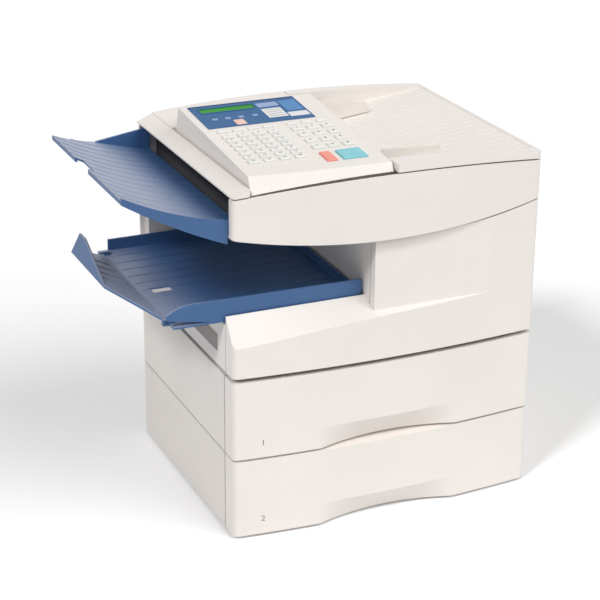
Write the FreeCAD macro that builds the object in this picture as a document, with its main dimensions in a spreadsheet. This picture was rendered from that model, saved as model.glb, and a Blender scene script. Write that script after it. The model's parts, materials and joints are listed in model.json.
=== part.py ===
import FreeCAD, Part
import math
import os
import Sketcher
from FreeCAD import Placement, Rotation, Vector

# Driving dimensions in millimetres, angles in degrees.
dimensions = {
    # whole machine
    "body_width": 420, "body_depth": 340, "front_bow": 12, "corner_radius": 7, "shell": 3,
    "reveal": 3, "seam_gap": 2, "running_gap": 0.5, "seat_gap": 0.3, "pin_gap": 0.06,
    # feet
    "foot_height": 4, "foot_radius": 13, "foot_inset": 40,
    # cassette units
    "unit_pitch": 108, "front_wrap": 29, "groove": 3, "pad_size": 24, "pad_inset": 22,
    "drawer_height": 70, "drawer_wall": 2.5, "drawer_back_room": 14, "drawer_plate_inset": 6,
    "path_room": 34, "path_slot": 26, "sheet_slot": 222, "paper_length": 279, "paper_margin": 6,
    "scoop_width": 190, "scoop_depth": 22, "scoop_height": 30,
    "lift_length": 240, "lift_width": 200, "lift_thick": 1.5, "lift_rise": 6, "lift_pin": 2,
    "boss_size": 10,
    "guide_height": 55, "guide_foot": 34, "guide_width": 70, "guide_wall": 3,
    "pick_radius": 12, "pick_width": 50, "pick_shaft": 4, "pick_inset": 90, "pick_height": 90,
    "hanger_span": 224, "hanger_thick": 4, "hanger_half": 9,
    # print engine
    "engine_height": 184, "base_thick": 4, "base_gap": 1, "frame_inset": 38, "frame_thick": 2, "frame_gap": 2,
    "rear_room": 42,
    "pillar_width": 232, "pillar_return": 10, "deck_height": 67, "ledge_height": 78, "ledge_depth": 25,
    "ledge_set_back": 2, "bevel_left": 1.44, "bevel_middle": 0.63, "bevel_pillar": 0.46, "bevel_right": 0.27,
    "bevel_turn": 124, "swoosh_reach": 140,
    "grip_width": 82, "grip_height": 24, "grip_depth": 17, "grip_front": 25, "grip_low": 18,
    "hinge_pin": 2, "hinge_height": 6, "hinge_setback": 3, "hinge_spread": 60, "lug_wide": 6, "lug_gap": 1,
    "cover_gap": 2, "knuckle": 4, "arm_low": 20, "arm_high": 44,
    "side_knuckle": 4, "side_pin": 2, "side_spread": 118,
    "drum_inset": 105, "drum_height": 80, "drum_radius": 15, "drum_shaft": 4, "roller_gap": 16,
    "transfer_radius": 8, "heat_radius": 12, "pressure_radius": 12, "small_shaft": 3, "nip": 0.3,
    "exit_inset": 16, "exit_height": 138, "exit_radius": 8, "tyre_width": 14, "tyre_pitch": 56,
    "exit_slot_low": 2, "exit_slot_tall": 16, "shaft_end": 2,
    "gear_module": 1, "drum_teeth": 60, "pinion_teeth": 16, "heat_teeth": 48, "gear_thick": 7, "gear_gap": 2,
    "backlash": 0.22, "motor_radius": 13.5, "motor_length": 26,
    "toner_width": 58, "toner_height": 56, "toner_gap": 4, "nose_radius": 11.5, "nose_inset": 12,
    "laser_width": 66, "laser_height": 30, "laser_stand": 8, "slit_inset": 14, "slit_wide": 6, "slit_deep": 2,
    "board_thick": 1.6,
    "board_stand": 7, "supply_inset": 45, "supply_margin": 35, "supply_tall": 34, "capacitor": 11,
    "post_edge": 6, "post_radius": 3, "control_stand": 20, "control_inset": 22, "control_low": 10,
    "chip_thick": 4,
    "fan_size": 56, "fan_thick": 15, "fan_wall": 2, "fan_web": 3, "fan_axle": 2, "fan_hub": 11,
    "fan_inset": 64, "blade_count": 7, "blade_thick": 1.2, "blade_angle": 40, "blade_gap": 4,
    "vent_count": 7, "vent_height": 3, "vent_margin": 6,
    "port_left": 30, "port_height": 26, "inlet_width": 28, "inlet_height": 21, "inlet_depth": 24,
    "inlet_wall": 2, "inlet_floor": 6, "prong_pitch": 7, "prong_low": 6, "prong_high": 11, "prong_half": 1,
    "flange_lip": 4, "flange_thick": 2, "socket_gap": 10, "socket_size": 14, "socket_wall": 2,
    "socket_depth": 18, "socket_floor": 5, "socket_lip": 3,
    "switch_gap": 22, "switch_width": 13, "switch_height": 19, "switch_depth": 14, "switch_wall": 1.5,
    "switch_axle": 1.2, "switch_throw": 14, "rocker_inset": 5, "rocker_face": 3.5, "rocker_back": 3,
    "rocker_dip": 1.1, "rocker_margin": 1.2,
    "screw_head": 3.6, "screw_inset": 12, "post_inset": 6, "post_size": 20,
    # print tray
    "tray_wall": 2.5, "tray_front_height": 28, "tray_rear_height": 18, "tray_reach": 66, "tray_gap": 4,
    "tray_tip": 76, "tip_high": 18, "tip_low": 12, "tip_lean": 3, "wall_crest": 2, "wall_turn": 40,
    "tray_rear_gap": 6, "tray_rear_short": 10, "tray_stop_height": 14, "rib": 0.8, "rib_margin": 4,
    "end_hinge": 4, "end_length": 59, "end_thick": 3, "end_angle": 27, "end_margin": 21.75, "end_pin": 2,
    "end_ear": 7,
    "ear_half": 4, "ear_gap": 1, "end_near_taper": 68, "end_rear_taper": 36, "fin_height": 26, "fin_top": 20,
    "window_left": 16, "window_long": 26, "window_front": -26, "window_wide": 16,
    # scanner
    "lens_sag": 23, "seam_low": 49, "seam_rise": 11, "rim_band": 12, "scan_front": 9,
    "shoulder_width": 21.5, "shoulder_rise": 13, "shoulder_edge": 4, "shoulder_fall": 2, "table_left": 2,
    "table_low": 36, "table_high": 61, "table_end": 6, "table_rim": 18, "table_floor": 3, "rib_pitch": 14,
    "post_width": 8, "guide_margin": 6, "guide_left": 10, "guide_length": 92, "guide_reach": 41,
    "guide_lift": 1.2, "guide_thick": 2.2, "fence_left": 68.5, "fence_right": 63.5, "fence_thick": 3,
    "fence_taper": 6,
    "feed_radius": 9, "feed_inset": 240, "feed_lift": 2, "out_inset": 372, "out_drop": 3, "feed_pitch": 70,
    "feed_half": 16, "path_height": 32, "sensor_width": 20, "sensor_inset": 310, "sensor_margin": 6,
    "glass_thick": 2, "glass_lip": 2, "exit_wall": 4, "exit_wall_gap": 2, "exit_gap_low": 6,
    "exit_gap_high": 4,
    # original tray
    "upper_reach": 132, "upper_rise": 47, "upper_sag": 6.5, "upper_start": 17, "upper_wall": 3,
    "upper_tail": 10, "upper_side": 4, "upper_end_gap": 2, "upper_drop": 12, "upper_lip": 6, "upper_web": 75,
    "upper_taper": 70, "upper_narrow": 43, "notch_width": 52, "notch_depth": 10, "notch_shift": 6,
    # operation panel
    "panel_left": 24, "panel_right": 1.5, "panel_front": 12, "panel_front_inset": 14,
    "panel_front_height": 74, "panel_tilt": 5,
    "panel_tail": 4.9, "panel_wall": 2.5, "panel_low": 51, "panel_lean": 12, "panel_pin": 2.5,
    "panel_axis_back": 90, "panel_axis_height": 58, "panel_swing": 13, "lug_thick": 6, "lug_half": 5,
    "lug_inset": 4, "notch_gap": 1, "notch_room": 10,
    "key_gap": 0.4, "key_rise": 2.4, "key_chamfer": 0.7, "key_lip": 1, "key_travel": 1, "board_gap": 0.2,
    "key_columns": 4, "key_rows": 7, "key_across": 20.4, "key_along": 14, "key_width": 13, "key_depth": 8,
    "key_left": 23, "key_front": 37, "dial_columns": 3, "dial_rows": 4, "dial_along": 21, "dial_depth": 11,
    "dial_left": 116.5, "dial_front": 58, "menu_front": 138, "menu_depth": 5, "action_front": 25.5,
    "action_depth": 27, "stop_wide": 13, "start_wide": 32, "start_left": 147.5,
    "plate_thick": 1.2, "plate_left": 10, "plate_width": 146, "plate_front": 152, "plate_depth": 76,
    "screen_left": 10, "screen_width": 74, "screen_front": 50, "screen_depth": 14,
    "board_front": 6, "board_back": 148, "board_margin": 4, "board_post": 6,
}

doc = FreeCAD.newDocument("FaxMachine")
sheet = doc.addObject("Spreadsheet::Sheet", "Dims")


class Size:
    """A number together with the sheet expression that gives it."""

    def __init__(self, value, text):
        self.value = float(value)
        self.text = text

    def __float__(self):
        return self.value

    def __add__(self, other):
        return join(self, "+", other)

    def __radd__(self, other):
        return join(other, "+", self)

    def __sub__(self, other):
        return join(self, "-", other)

    def __rsub__(self, other):
        return join(other, "-", self)

    def __mul__(self, other):
        return join(self, "*", other)

    def __rmul__(self, other):
        return join(other, "*", self)

    def __truediv__(self, other):
        return join(self, "/", other)

    def __rtruediv__(self, other):
        return join(other, "/", self)

    def __neg__(self):
        return Size(-self.value, f"(-{self.text})")


def as_size(number):
    return number if isinstance(number, Size) else Size(number, f"({float(number)!r})")


def join(first, sign, second):
    one = as_size(first)
    two = as_size(second)
    if sign == "+":
        value = one.value + two.value
    elif sign == "-":
        value = one.value - two.value
    elif sign == "*":
        value = one.value * two.value
    else:
        value = one.value / two.value
    return Size(value, f"({one.text} {sign} {two.text})")


def cosine(angle):
    return Size(math.cos(math.radians(float(angle))), f"cos({as_size(angle).text} * 1 deg)")


def sine(angle):
    return Size(math.sin(math.radians(float(angle))), f"sin({as_size(angle).text} * 1 deg)")


class Sizes:
    """The sheet's sizes by name."""


size = Sizes()
for row, (word, number) in enumerate(dimensions.items(), 1):
    sheet.set(f"A{row}", word)
    sheet.set(f"B{row}", str(number))
    sheet.setAlias(f"B{row}", word)
    setattr(size, word, Size(number, f"Dims.{word}"))
doc.recompute()

pieces = []
hinge_pins = []


def piece(label, thing):
    """Keep an object as one named sub-part."""
    thing.Label = label
    pieces.append(thing)
    return thing


def bind(thing, path, number):
    thing.setExpression(path, as_size(number).text)


def place(thing, x=0, y=0, z=0):
    bind(thing, "Placement.Base.x", x)
    bind(thing, "Placement.Base.y", y)
    bind(thing, "Placement.Base.z", z)


def block(name, x, y, z):
    """A box between a low and a high limit along each axis."""
    box = doc.addObject("Part::Box", name)
    for side, (low, high) in zip(("Length", "Width", "Height"), (x, y, z)):
        bind(box, side, as_size(high) - low)
    place(box, x[0], y[0], z[0])
    return box


def rod(name, axis, centre, radius, span):
    """A round bar along Y, X or Z; centre gives the two other coordinates in order."""
    bar = doc.addObject("Part::Cylinder", name)
    bind(bar, "Radius", radius)
    bind(bar, "Height", as_size(span[1]) - span[0])
    turns = {"X": Rotation(Vector(0, 1, 0), 90), "Y": Rotation(Vector(1, 0, 0), -90), "Z": Rotation()}
    bar.Placement = Placement(Vector(), turns[axis])
    where = list(centre)
    where.insert("XYZ".index(axis), span[0])
    place(bar, *where)
    return bar


def outline_sketch(body, name, plane, outline):
    """A closed sketch; a third number on a point bulges the next side out by that much."""
    sketch = body.newObject("Sketcher::SketchObject", name)
    support = next(item for item in body.Origin.OriginFeatures if item.Role == plane + "_Plane")
    sketch.AttachmentSupport = (support, [""])
    sketch.MapMode = "FlatFace"
    points = [(as_size(corner[0]), as_size(corner[1])) for corner in outline]
    starts = []
    ends = []
    for number, corner in enumerate(outline):
        here = Vector(*map(float, points[number]), 0)
        there = Vector(*map(float, points[(number + 1) % len(points)]), 0)
        bulge = float(corner[2]) if len(corner) > 2 else 0
        if bulge:
            along = there - here
            middle = (here + there) / 2 + Vector(along.y, -along.x, 0).normalize() * bulge
            ends_in_turn = (here, there) if bulge > 0 else (there, here)
            sketch.addGeometry(Part.Arc(ends_in_turn[0], middle, ends_in_turn[1]), False)
        else:
            sketch.addGeometry(Part.LineSegment(here, there), False)
        forward = (sketch.Geometry[number].StartPoint - here).Length < 1e-6
        starts.append(1 if forward else 2)
        ends.append(2 if forward else 1)
    for number, corner in enumerate(outline):
        following = (number + 1) % len(points)
        joint = Sketcher.Constraint("Coincident", number, ends[number], following, starts[following])
        sketch.addConstraint(joint)
        for kind, number_value in zip(("DistanceX", "DistanceY"), points[number]):
            rule = Sketcher.Constraint(kind, -1, 1, number, starts[number], float(number_value))
            bind(sketch, f"Constraints[{sketch.addConstraint(rule)}]", number_value)
        if len(corner) > 2 and float(corner[2]):
            bulge = corner[2] if float(corner[2]) > 0 else -as_size(corner[2])
            across = points[following][0] - points[number][0]
            along = points[following][1] - points[number][1]
            radius = ((across * across + along * along) / 4 + bulge * as_size(bulge)) / (2 * as_size(bulge))
            rule = Sketcher.Constraint("Radius", number, float(radius))
            bind(sketch, f"Constraints[{sketch.addConstraint(rule)}]", radius)
    return sketch


def prism(name, plane, outline, start, end):
    """An outline in a main plane, drawn out along the plane's normal from start to end."""
    body = doc.addObject("PartDesign::Body", name)
    sketch = outline_sketch(body, name + "_outline", plane, outline)
    pad = body.newObject("PartDesign::Pad", name + "_pad")
    pad.Profile = sketch
    bind(pad, "Length", as_size(end) - start)
    shift = {"XY": (0, 0, start), "XZ": (0, end, 0), "YZ": (start, 0, 0)}
    place(body, *shift[plane])
    return body


def loft(name, plane, sections, ruled):
    """A solid through outlines that stand at different distances from a main plane."""
    body = doc.addObject("PartDesign::Body", name)
    sketches = []
    for number, (distance, outline) in enumerate(sections):
        sketch = outline_sketch(body, f"{name}_{number}", plane, outline)
        bind(sketch, "AttachmentOffset.Base.z", distance)
        sketches.append(sketch)
    solid = body.newObject("PartDesign::AdditiveLoft", name + "_loft")
    solid.Profile = sketches[0]
    solid.Sections = sketches[1:]
    solid.Ruled = ruled
    return body


def round_edges(body, radius, chosen):
    """Round the edges of a body's last feature that the rule picks."""
    doc.recompute()
    base = body.Tip
    names = [f"Edge{number}" for number, edge in enumerate(base.Shape.Edges, 1) if chosen(edge)]
    rounding = body.newObject("PartDesign::Fillet", body.Name + "_rounding")
    rounding.Base = (base, names)
    bind(rounding, "Radius", radius)
    return body


def is_upright(edge):
    span = edge.Vertexes[0].Point - edge.Vertexes[-1].Point
    return abs(span.x) < 1e-6 and abs(span.y) < 1e-6 and abs(span.z) > 1e-6


def cut(name, base, *tools):
    result = doc.addObject("Part::Cut", name)
    result.Base = base
    result.Tool = tools[0] if len(tools) == 1 else fuse(name + "_tools", *tools)
    return result


def fuse(name, *things):
    result = doc.addObject("Part::MultiFuse", name)
    result.Shapes = list(things)
    return result


def common(name, *things):
    result = doc.addObject("Part::MultiCommon", name)
    result.Shapes = list(things)
    return result


def group(name, things):
    result = doc.addObject("Part::Compound", name)
    result.Links = list(things)
    return result


def solid_shape(name, shape):
    """An object for a shape that is worked out from the sheet's values."""
    result = doc.addObject("Part::Feature", name)
    result.Shape = shape
    return result


# Main planes of the body.
left = -size.body_width / 2
right = size.body_width / 2
front = -size.body_depth / 2
back = size.body_depth / 2
engine_low = size.foot_height + size.unit_pitch * 2
cover_low = engine_low + size.reveal
scan_low = engine_low + size.engine_height
beyond = 5


def bow_at(x):
    """Where the bowed front lies at a distance x from the middle, close to its true arc."""
    share = as_size(x) * 2 / size.body_width
    return front - size.front_bow * (1 - share * share)


def bowed_block(name, z, y_back, inset=0):
    """The body's plan with its bowed front, drawn in by an inset at the front and sides."""
    near = front + inset
    outline = [(left + inset, near, size.front_bow), (right - inset, near), (right - inset, y_back),
               (left + inset, y_back)]
    body = prism(name, "XY", outline, *z)
    return round_edges(body, size.corner_radius - inset,
                       lambda edge: is_upright(edge) and abs(edge.Vertexes[0].Y - float(near)) < 0.01)


def arch_region(name, end_height, rise, flat):
    """The space between a shallow arch across the body and a level plane above or below it."""
    share = 1 + 2 * beyond / size.body_width
    peak = rise * share * share
    low = end_height + rise - peak
    if float(flat) > float(low):
        points = [(left - beyond, low, -peak), (right + beyond, low), (right + beyond, flat),
                  (left - beyond, flat)]
    else:
        points = [(left - beyond, flat), (right + beyond, flat), (right + beyond, low, peak),
                  (left - beyond, low)]
    return prism(name, "XZ", points, front * 2, back * 2)


# Paper feed: two stacked cassette units. Sheets rise through slots along the right wall.
slot_left = right - size.shell - size.path_slot


def scoop_tool(name, base, skin):
    """The finger scoop under a drawer front: deep at the bottom edge, running out upwards."""
    half = size.scoop_width / 2 + skin
    edge = bow_at(size.scoop_width / 2)
    clear = front - size.front_bow - beyond
    deep = front - size.front_bow + size.scoop_depth + skin - edge
    shallow = front - size.front_bow - size.seat_gap + skin - edge
    sections = []
    for height, bulge in ((base - beyond, deep), (base + size.scoop_height + skin, shallow)):
        sections.append((height, [(-half, clear), (half, clear), (half, edge, bulge), (-half, edge)]))
    return loft(name, "XY", sections, True)


def drawer_front(word, base, top):
    behind = front + size.front_wrap
    outer = bowed_block(word + "_front_outer", (base, top), behind)
    hollow = bowed_block(word + "_front_hollow", (base + size.shell, top - size.shell), behind + beyond,
                         size.shell)
    lining = common(word + "_scoop_lining", outer, scoop_tool(word + "_scoop_skin", base, size.shell))
    shell = fuse(word + "_front_shell", cut(word + "_front_wall", outer, hollow), lining)
    scooped = cut(word + "_front_scooped", shell, scoop_tool(word + "_scoop", base, 0))
    return piece(word + "_drawer_front", scooped)


def unit_housing(word, base, top, lowest):
    near = front + size.front_wrap + size.groove
    corners = [(left, near), (right, near), (right, back), (left, back)]
    outer = prism(word + "_housing_outer", "XY", corners, base, top)
    round_edges(outer, size.corner_radius,
                lambda edge: is_upright(edge) and abs(edge.Vertexes[0].Y - float(back)) < 0.01)
    hollow = block(word + "_housing_hollow", (left + size.shell, right - size.shell),
                   (near - beyond, back - size.shell), (base + size.shell, top - size.shell))
    slot_low = base + size.shell + beyond if lowest else base - beyond
    slot = block(word + "_path_slot", (slot_left, right - size.shell),
                 (-size.sheet_slot / 2, size.sheet_slot / 2), (slot_low, top + beyond))
    added = []
    across = right - size.pick_inset
    height = base + size.pick_height
    for side, face in (("front", -size.hanger_span / 2 - size.hanger_thick), ("rear", size.hanger_span / 2)):
        added.append(block(f"{word}_hanger_{side}", (across - size.hanger_half, across + size.hanger_half),
                           (face, face + size.hanger_thick),
                           (height - size.hanger_half, top - size.shell / 2)))
    reach = size.pad_inset + size.pad_size
    for x_low in (left + size.pad_inset, right - reach - size.path_room):
        for y_low in (near + size.pad_inset, back - reach):
            added.append(block(word + "_pad", (x_low, x_low + size.pad_size), (y_low, y_low + size.pad_size),
                               (top - size.shell / 2, top + size.reveal)))
    walls = fuse(word + "_housing_walls", cut(word + "_housing_shell", outer, hollow, slot), *added)
    bore = rod(word + "_hanger_bore", "Y", (across, height), size.pick_shaft + size.pin_gap,
               (-size.hanger_span, size.hanger_span))
    return piece(word + "_unit_housing", cut(word + "_housing", walls, bore))


def drawer(word, base, top):
    low = base + size.shell + size.seat_gap
    floor = low + size.drawer_wall
    near = front + size.front_wrap
    box_left = left + size.shell + size.running_gap
    box_right = right - size.shell - size.path_room
    box_back = back - size.shell - size.drawer_back_room
    wall = size.drawer_wall
    plate = block(word + "_drawer_plate", (left + size.drawer_plate_inset, right - size.drawer_plate_inset),
                  (near, near + wall), (base + size.running_gap, top - size.running_gap))
    outer = block(word + "_drawer_outer", (box_left, box_right), (near, box_back),
                  (low, low + size.drawer_height))
    hollow = block(word + "_drawer_hollow", (box_left + wall, box_right - wall),
                   (near + wall, box_back - wall), (floor, top + beyond))
    pivot_x = box_right - wall - size.paper_margin * 2 - size.lift_length + size.boss_size / 2
    pivot_z = floor + size.lift_rise + size.lift_thick / 2
    half = size.lift_width / 2 + 2 * size.running_gap
    bosses = []
    for y_low in (-half - size.boss_size, half):
        bosses.append(block(word + "_boss", (pivot_x - size.boss_size / 2, pivot_x + size.boss_size / 2),
                            (y_low, y_low + size.boss_size),
                            (floor - wall / 2, pivot_z + size.boss_size / 2)))
    bore = rod(word + "_lift_bore", "Y", (pivot_x, pivot_z), size.lift_pin + size.pin_gap,
               (-half - size.boss_size - beyond, half + size.boss_size + beyond))
    tray = fuse(word + "_drawer_tray", plate, cut(word + "_drawer_box", outer, hollow), *bosses)
    piece(word + "_drawer", cut(word + "_drawer_bored", tray, bore))

    # paper lift plate with its two pivot pins
    lift_left = pivot_x - size.boss_size / 2
    sheet_plate = block(word + "_lift_sheet", (lift_left, lift_left + size.lift_length),
                        (-size.lift_width / 2, size.lift_width / 2),
                        (floor + size.lift_rise, floor + size.lift_rise + size.lift_thick))
    pivot = rod(word + "_lift_pivot", "Y", (pivot_x, pivot_z), size.lift_pin,
                (-half - size.boss_size, half + size.boss_size))
    piece(word + "_lift_plate", fuse(word + "_lift", sheet_plate, pivot))

    # paper length guide, standing on the drawer floor at the paper's end
    paper_end = box_right - wall - size.paper_margin - size.paper_length
    rest = floor + size.seat_gap
    foot = block(word + "_guide_foot", (paper_end - size.guide_foot, paper_end),
                 (-size.guide_width / 2, size.guide_width / 2), (rest, rest + size.guide_wall))
    fence = block(word + "_guide_fence", (paper_end - size.guide_wall, paper_end),
                  (-size.guide_width / 2, size.guide_width / 2), (rest, rest + size.guide_height))
    piece(word + "_length_guide", fuse(word + "_guide", foot, fence))


def pick_up(word, base):
    """Paper pick-up roller on its shaft, hung from the unit's top."""
    across = right - size.pick_inset
    height = base + size.pick_height
    end = size.hanger_span / 2 + size.hanger_thick + size.seam_gap
    shaft = rod(word + "_pick_shaft", "Y", (across, height), size.pick_shaft, (-end, end))
    tyre = rod(word + "_pick_tyre", "Y", (across, height), size.pick_radius,
               (-size.pick_width / 2, size.pick_width / 2))
    piece(word + "_pickup_roller", fuse(word + "_pick_roller", shaft, tyre))


def feet():
    ways = []
    for x in (left + size.foot_inset, right - size.foot_inset):
        for y in (front + size.front_wrap + size.foot_inset, back - size.foot_inset):
            ways.append(rod("foot", "Z", (x, y), size.foot_radius, (0, size.foot_height)))
    piece("rubber_feet", group("feet", ways))


def cassettes():
    for number, word in enumerate(("lower", "upper")):
        base = size.foot_height + size.unit_pitch * number
        top = base + size.unit_pitch - size.reveal
        unit_housing(word, base, top, number == 0)
        drawer(word, base, top)
        drawer_front(word, base, top)
        pick_up(word, base)
    feet()


# Print engine: base, frames and covers.
frame_front = front + size.frame_inset + size.frame_thick
frame_rear = back - size.rear_room
roller_span = (frame_front + size.roller_gap, frame_rear - size.roller_gap)
pillar_left = right - size.pillar_width
deck_low = engine_low + size.deck_height
deck_top = deck_low + size.shell
ledge_top = engine_low + size.ledge_height
ledge_back = front + size.ledge_depth
pillar_back = front + size.pillar_return
hinge_y = front - size.hinge_setback
hinge_z = cover_low + size.hinge_height
side_x = right - size.side_knuckle - size.running_gap
side_z = cover_low + size.side_knuckle
lens_low = scan_low - size.lens_sag

drum_x = size.drum_inset
drum_z = engine_low + size.drum_height
pinion_z = drum_z + size.gear_module * (size.drum_teeth + size.pinion_teeth) / 2
heat_z = pinion_z + size.gear_module * (size.pinion_teeth + size.heat_teeth) / 2
transfer_x = drum_x + size.drum_radius + size.transfer_radius + size.nip
pressure_x = drum_x + size.heat_radius + size.pressure_radius + size.nip
exit_x = pillar_left + size.exit_inset
exit_z = engine_low + size.exit_height
gear_face = frame_rear + size.frame_thick + size.gear_gap
gear_end = gear_face + size.gear_thick + size.shaft_end


def engine_base():
    gap = size.base_gap
    edge = right - 2 * size.side_knuckle - gap
    plate = block("base_plate", (left + size.shell + gap, edge),
                  (front + size.frame_inset - beyond, back - size.shell - gap),
                  (engine_low, engine_low + size.base_thick))
    slot = block("base_slot", (slot_left, right),
                 (-size.sheet_slot / 2, size.sheet_slot / 2), (engine_low - beyond, engine_low + 2 * beyond))
    knuckles = []
    for sign in (-1, 1):
        middle = size.side_spread * sign
        span = (middle - size.side_knuckle, middle + size.side_knuckle)
        knuckles.append(rod("base_knuckle", "Y", (side_x, side_z), size.side_knuckle, span))
        knuckles.append(block("base_web", (edge - beyond, side_x), span, (engine_low, side_z)))
    solid = fuse("base_solid", cut("base_sheet", plate, slot), *knuckles)
    bore = rod("base_bore", "Y", (side_x, side_z), size.side_pin, (front, back))
    piece("engine_base", cut("base", solid, bore))


def frame_plate(name, y):
    step = pillar_left + size.shell + size.frame_gap
    tall = block(name + "_tall", (step, right - size.path_room / 2), y,
                 (engine_low + size.base_thick, scan_low))
    low = block(name + "_low", (left + 2 * beyond, step + beyond), y,
                (engine_low + size.base_thick, deck_low))
    return fuse(name + "_sheet", tall, low)


def shaft_bores(name, y, with_pinion):
    spots = [(drum_x, drum_z, size.drum_shaft), (transfer_x, drum_z, size.small_shaft),
             (drum_x, heat_z, size.drum_shaft), (pressure_x, heat_z, size.small_shaft),
             (exit_x, exit_z, size.small_shaft)]
    if with_pinion:
        spots.append((drum_x, pinion_z, size.small_shaft))
    span = (y[0] - beyond, y[1] + beyond)
    return [rod(name + "_bore", "Y", (x, z), radius + size.pin_gap, span) for x, z, radius in spots]


def frames():
    near = (frame_front - size.frame_thick, frame_front)
    far = (frame_rear, frame_rear + size.frame_thick)
    arms = []
    for sign in (-1, 1):
        middle = size.hinge_spread * sign
        span = (middle - size.lug_wide / 2, middle + size.lug_wide / 2)
        root = near[0] + size.frame_thick / 2
        reach = size.knuckle
        arm = [(root, hinge_z + size.arm_low), (root, hinge_z + size.arm_high),
               (hinge_y - reach / 2, hinge_z + reach * 0.85), (hinge_y + reach * 0.85, hinge_z - reach / 2)]
        arms.append(prism("hinge_arm", "YZ", arm, *span))
        arms.append(rod("arm_knuckle", "X", (hinge_y, hinge_z), size.knuckle, span))
    solid = fuse("front_frame_solid", frame_plate("front_frame", near), *arms)
    reach = size.hinge_spread + size.lug_wide
    pin_bore = rod("arm_bore", "X", (hinge_y, hinge_z), size.hinge_pin, (-reach, reach))
    bores = shaft_bores("front_frame", near, False)
    piece("front_frame", cut("front_frame_bored", solid, pin_bore, *bores))
    piece("rear_frame", cut("rear_frame_bored", frame_plate("rear_frame", far),
                            *shaft_bores("rear_frame", far, True)))
    for sign in (-1, 1):
        inner = (size.hinge_spread - size.lug_wide / 2) * sign
        outer = inner + (2 * size.lug_wide + size.lug_gap) * sign
        ends = (inner, outer) if sign > 0 else (outer, inner)
        hinge_pins.append(rod("front_pin", "X", (hinge_y, hinge_z), size.hinge_pin, ends))


def bevel_tool(name, drop):
    """The space above the sloping ledge; the slope flattens towards the right."""
    sections = []
    ahead = 60
    tall = 140
    stations = ((left - beyond / 2, size.bevel_left), (left + size.bevel_turn, size.bevel_middle),
                (pillar_left, size.bevel_pillar), (size.swoosh_reach + 4 * beyond, size.bevel_right))
    for x, slope in stations:
        top = ledge_top - drop
        sections.append((x, [(ledge_back + beyond, top + slope * as_size(beyond)),
                             (ledge_back + beyond, top + tall), (ledge_back - ahead, top + tall),
                             (ledge_back - ahead, top - slope * as_size(ahead))]))
    return loft(name, "YZ", sections, False)


def cover_hull(name, inset, drop):
    """The front cover's outer form, or the hollow inside it when inset."""
    extra = beyond if drop else 0
    split = pillar_left + inset
    low_part = common(name + "_low", bowed_block(name + "_low_plan", (cover_low - extra, ledge_top),
                                                 ledge_back + extra, inset),
                      block(name + "_low_side", (left - beyond, split), (front * 2, back),
                            (cover_low - 2 * beyond, scan_low)))
    high_part = common(name + "_high", bowed_block(name + "_high_plan", (cover_low - extra, scan_low + extra),
                                                   pillar_back + extra, inset),
                       block(name + "_high_side", (split, right + beyond), (front * 2, back),
                             (cover_low - 2 * beyond, scan_low + 2 * beyond)))
    bevel = bevel_tool(name + "_bevel", drop)
    over_ledge = common(name + "_over_ledge", bevel,
                        block(name + "_ledge_side", (left * 2, split), (front * 2, back),
                              (engine_low, scan_low * 2)))
    set_back = front - size.ledge_set_back + inset
    faded = bow_at(size.swoosh_reach) + inset
    wedge = prism(name + "_wedge", "XY", [(split - beyond, set_back), (size.swoosh_reach, faded),
                                          (size.swoosh_reach, front * 1.3), (split - beyond, front * 1.3)],
                  engine_low, scan_low + 4 * beyond)
    over_swoosh = common(name + "_over_swoosh", bevel, wedge)
    return cut(name, fuse(name + "_whole", low_part, high_part), over_ledge, over_swoosh)


def front_cover():
    shell = cut("cover_shell", cover_hull("cover_outer", 0, 0),
                cover_hull("cover_hollow", size.shell, size.shell * 1.3))
    under_lens = arch_region("cover_under_lens", scan_low - size.seam_gap, -size.lens_sag,
                             engine_low - beyond)
    trimmed = common("cover_trimmed", shell, under_lens)
    lugs = []
    root = bow_at(size.hinge_spread) + size.shell / 2
    for sign in (-1, 1):
        near = (size.hinge_spread + size.lug_wide / 2 + size.lug_gap) * sign
        far = near + size.lug_wide * sign
        span = (near, far) if sign > 0 else (far, near)
        lugs.append(block("cover_lug", span, (root, hinge_y + size.knuckle),
                          (hinge_z - size.knuckle, hinge_z + size.knuckle)))
    reach = size.hinge_spread + 2 * size.lug_wide
    bore = rod("cover_bore", "X", (hinge_y, hinge_z), size.hinge_pin + size.pin_gap, (-reach, reach))
    piece("front_cover", cut("cover_bored", fuse("cover_with_lugs", trimmed, *lugs), bore))


def left_cover():
    near = ledge_back + size.cover_gap
    plate = block("left_plate", (left, left + size.shell), (near, back - size.shell - size.running_gap),
                  (cover_low, deck_low - size.running_gap))
    grip_y = near + size.grip_front
    low = cover_low + size.grip_low
    wall = size.shell
    pocket = block("grip_pocket", (left - beyond, left + size.grip_depth),
                   (grip_y, grip_y + size.grip_width), (low, low + size.grip_height))
    jacket = block("grip_jacket", (left, left + size.grip_depth + wall),
                   (grip_y - wall, grip_y + size.grip_width + wall),
                   (low - wall, low + size.grip_height + wall))
    piece("left_cover", cut("left_cover_solid", fuse("left_shell", plate, jacket), pocket))


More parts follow.
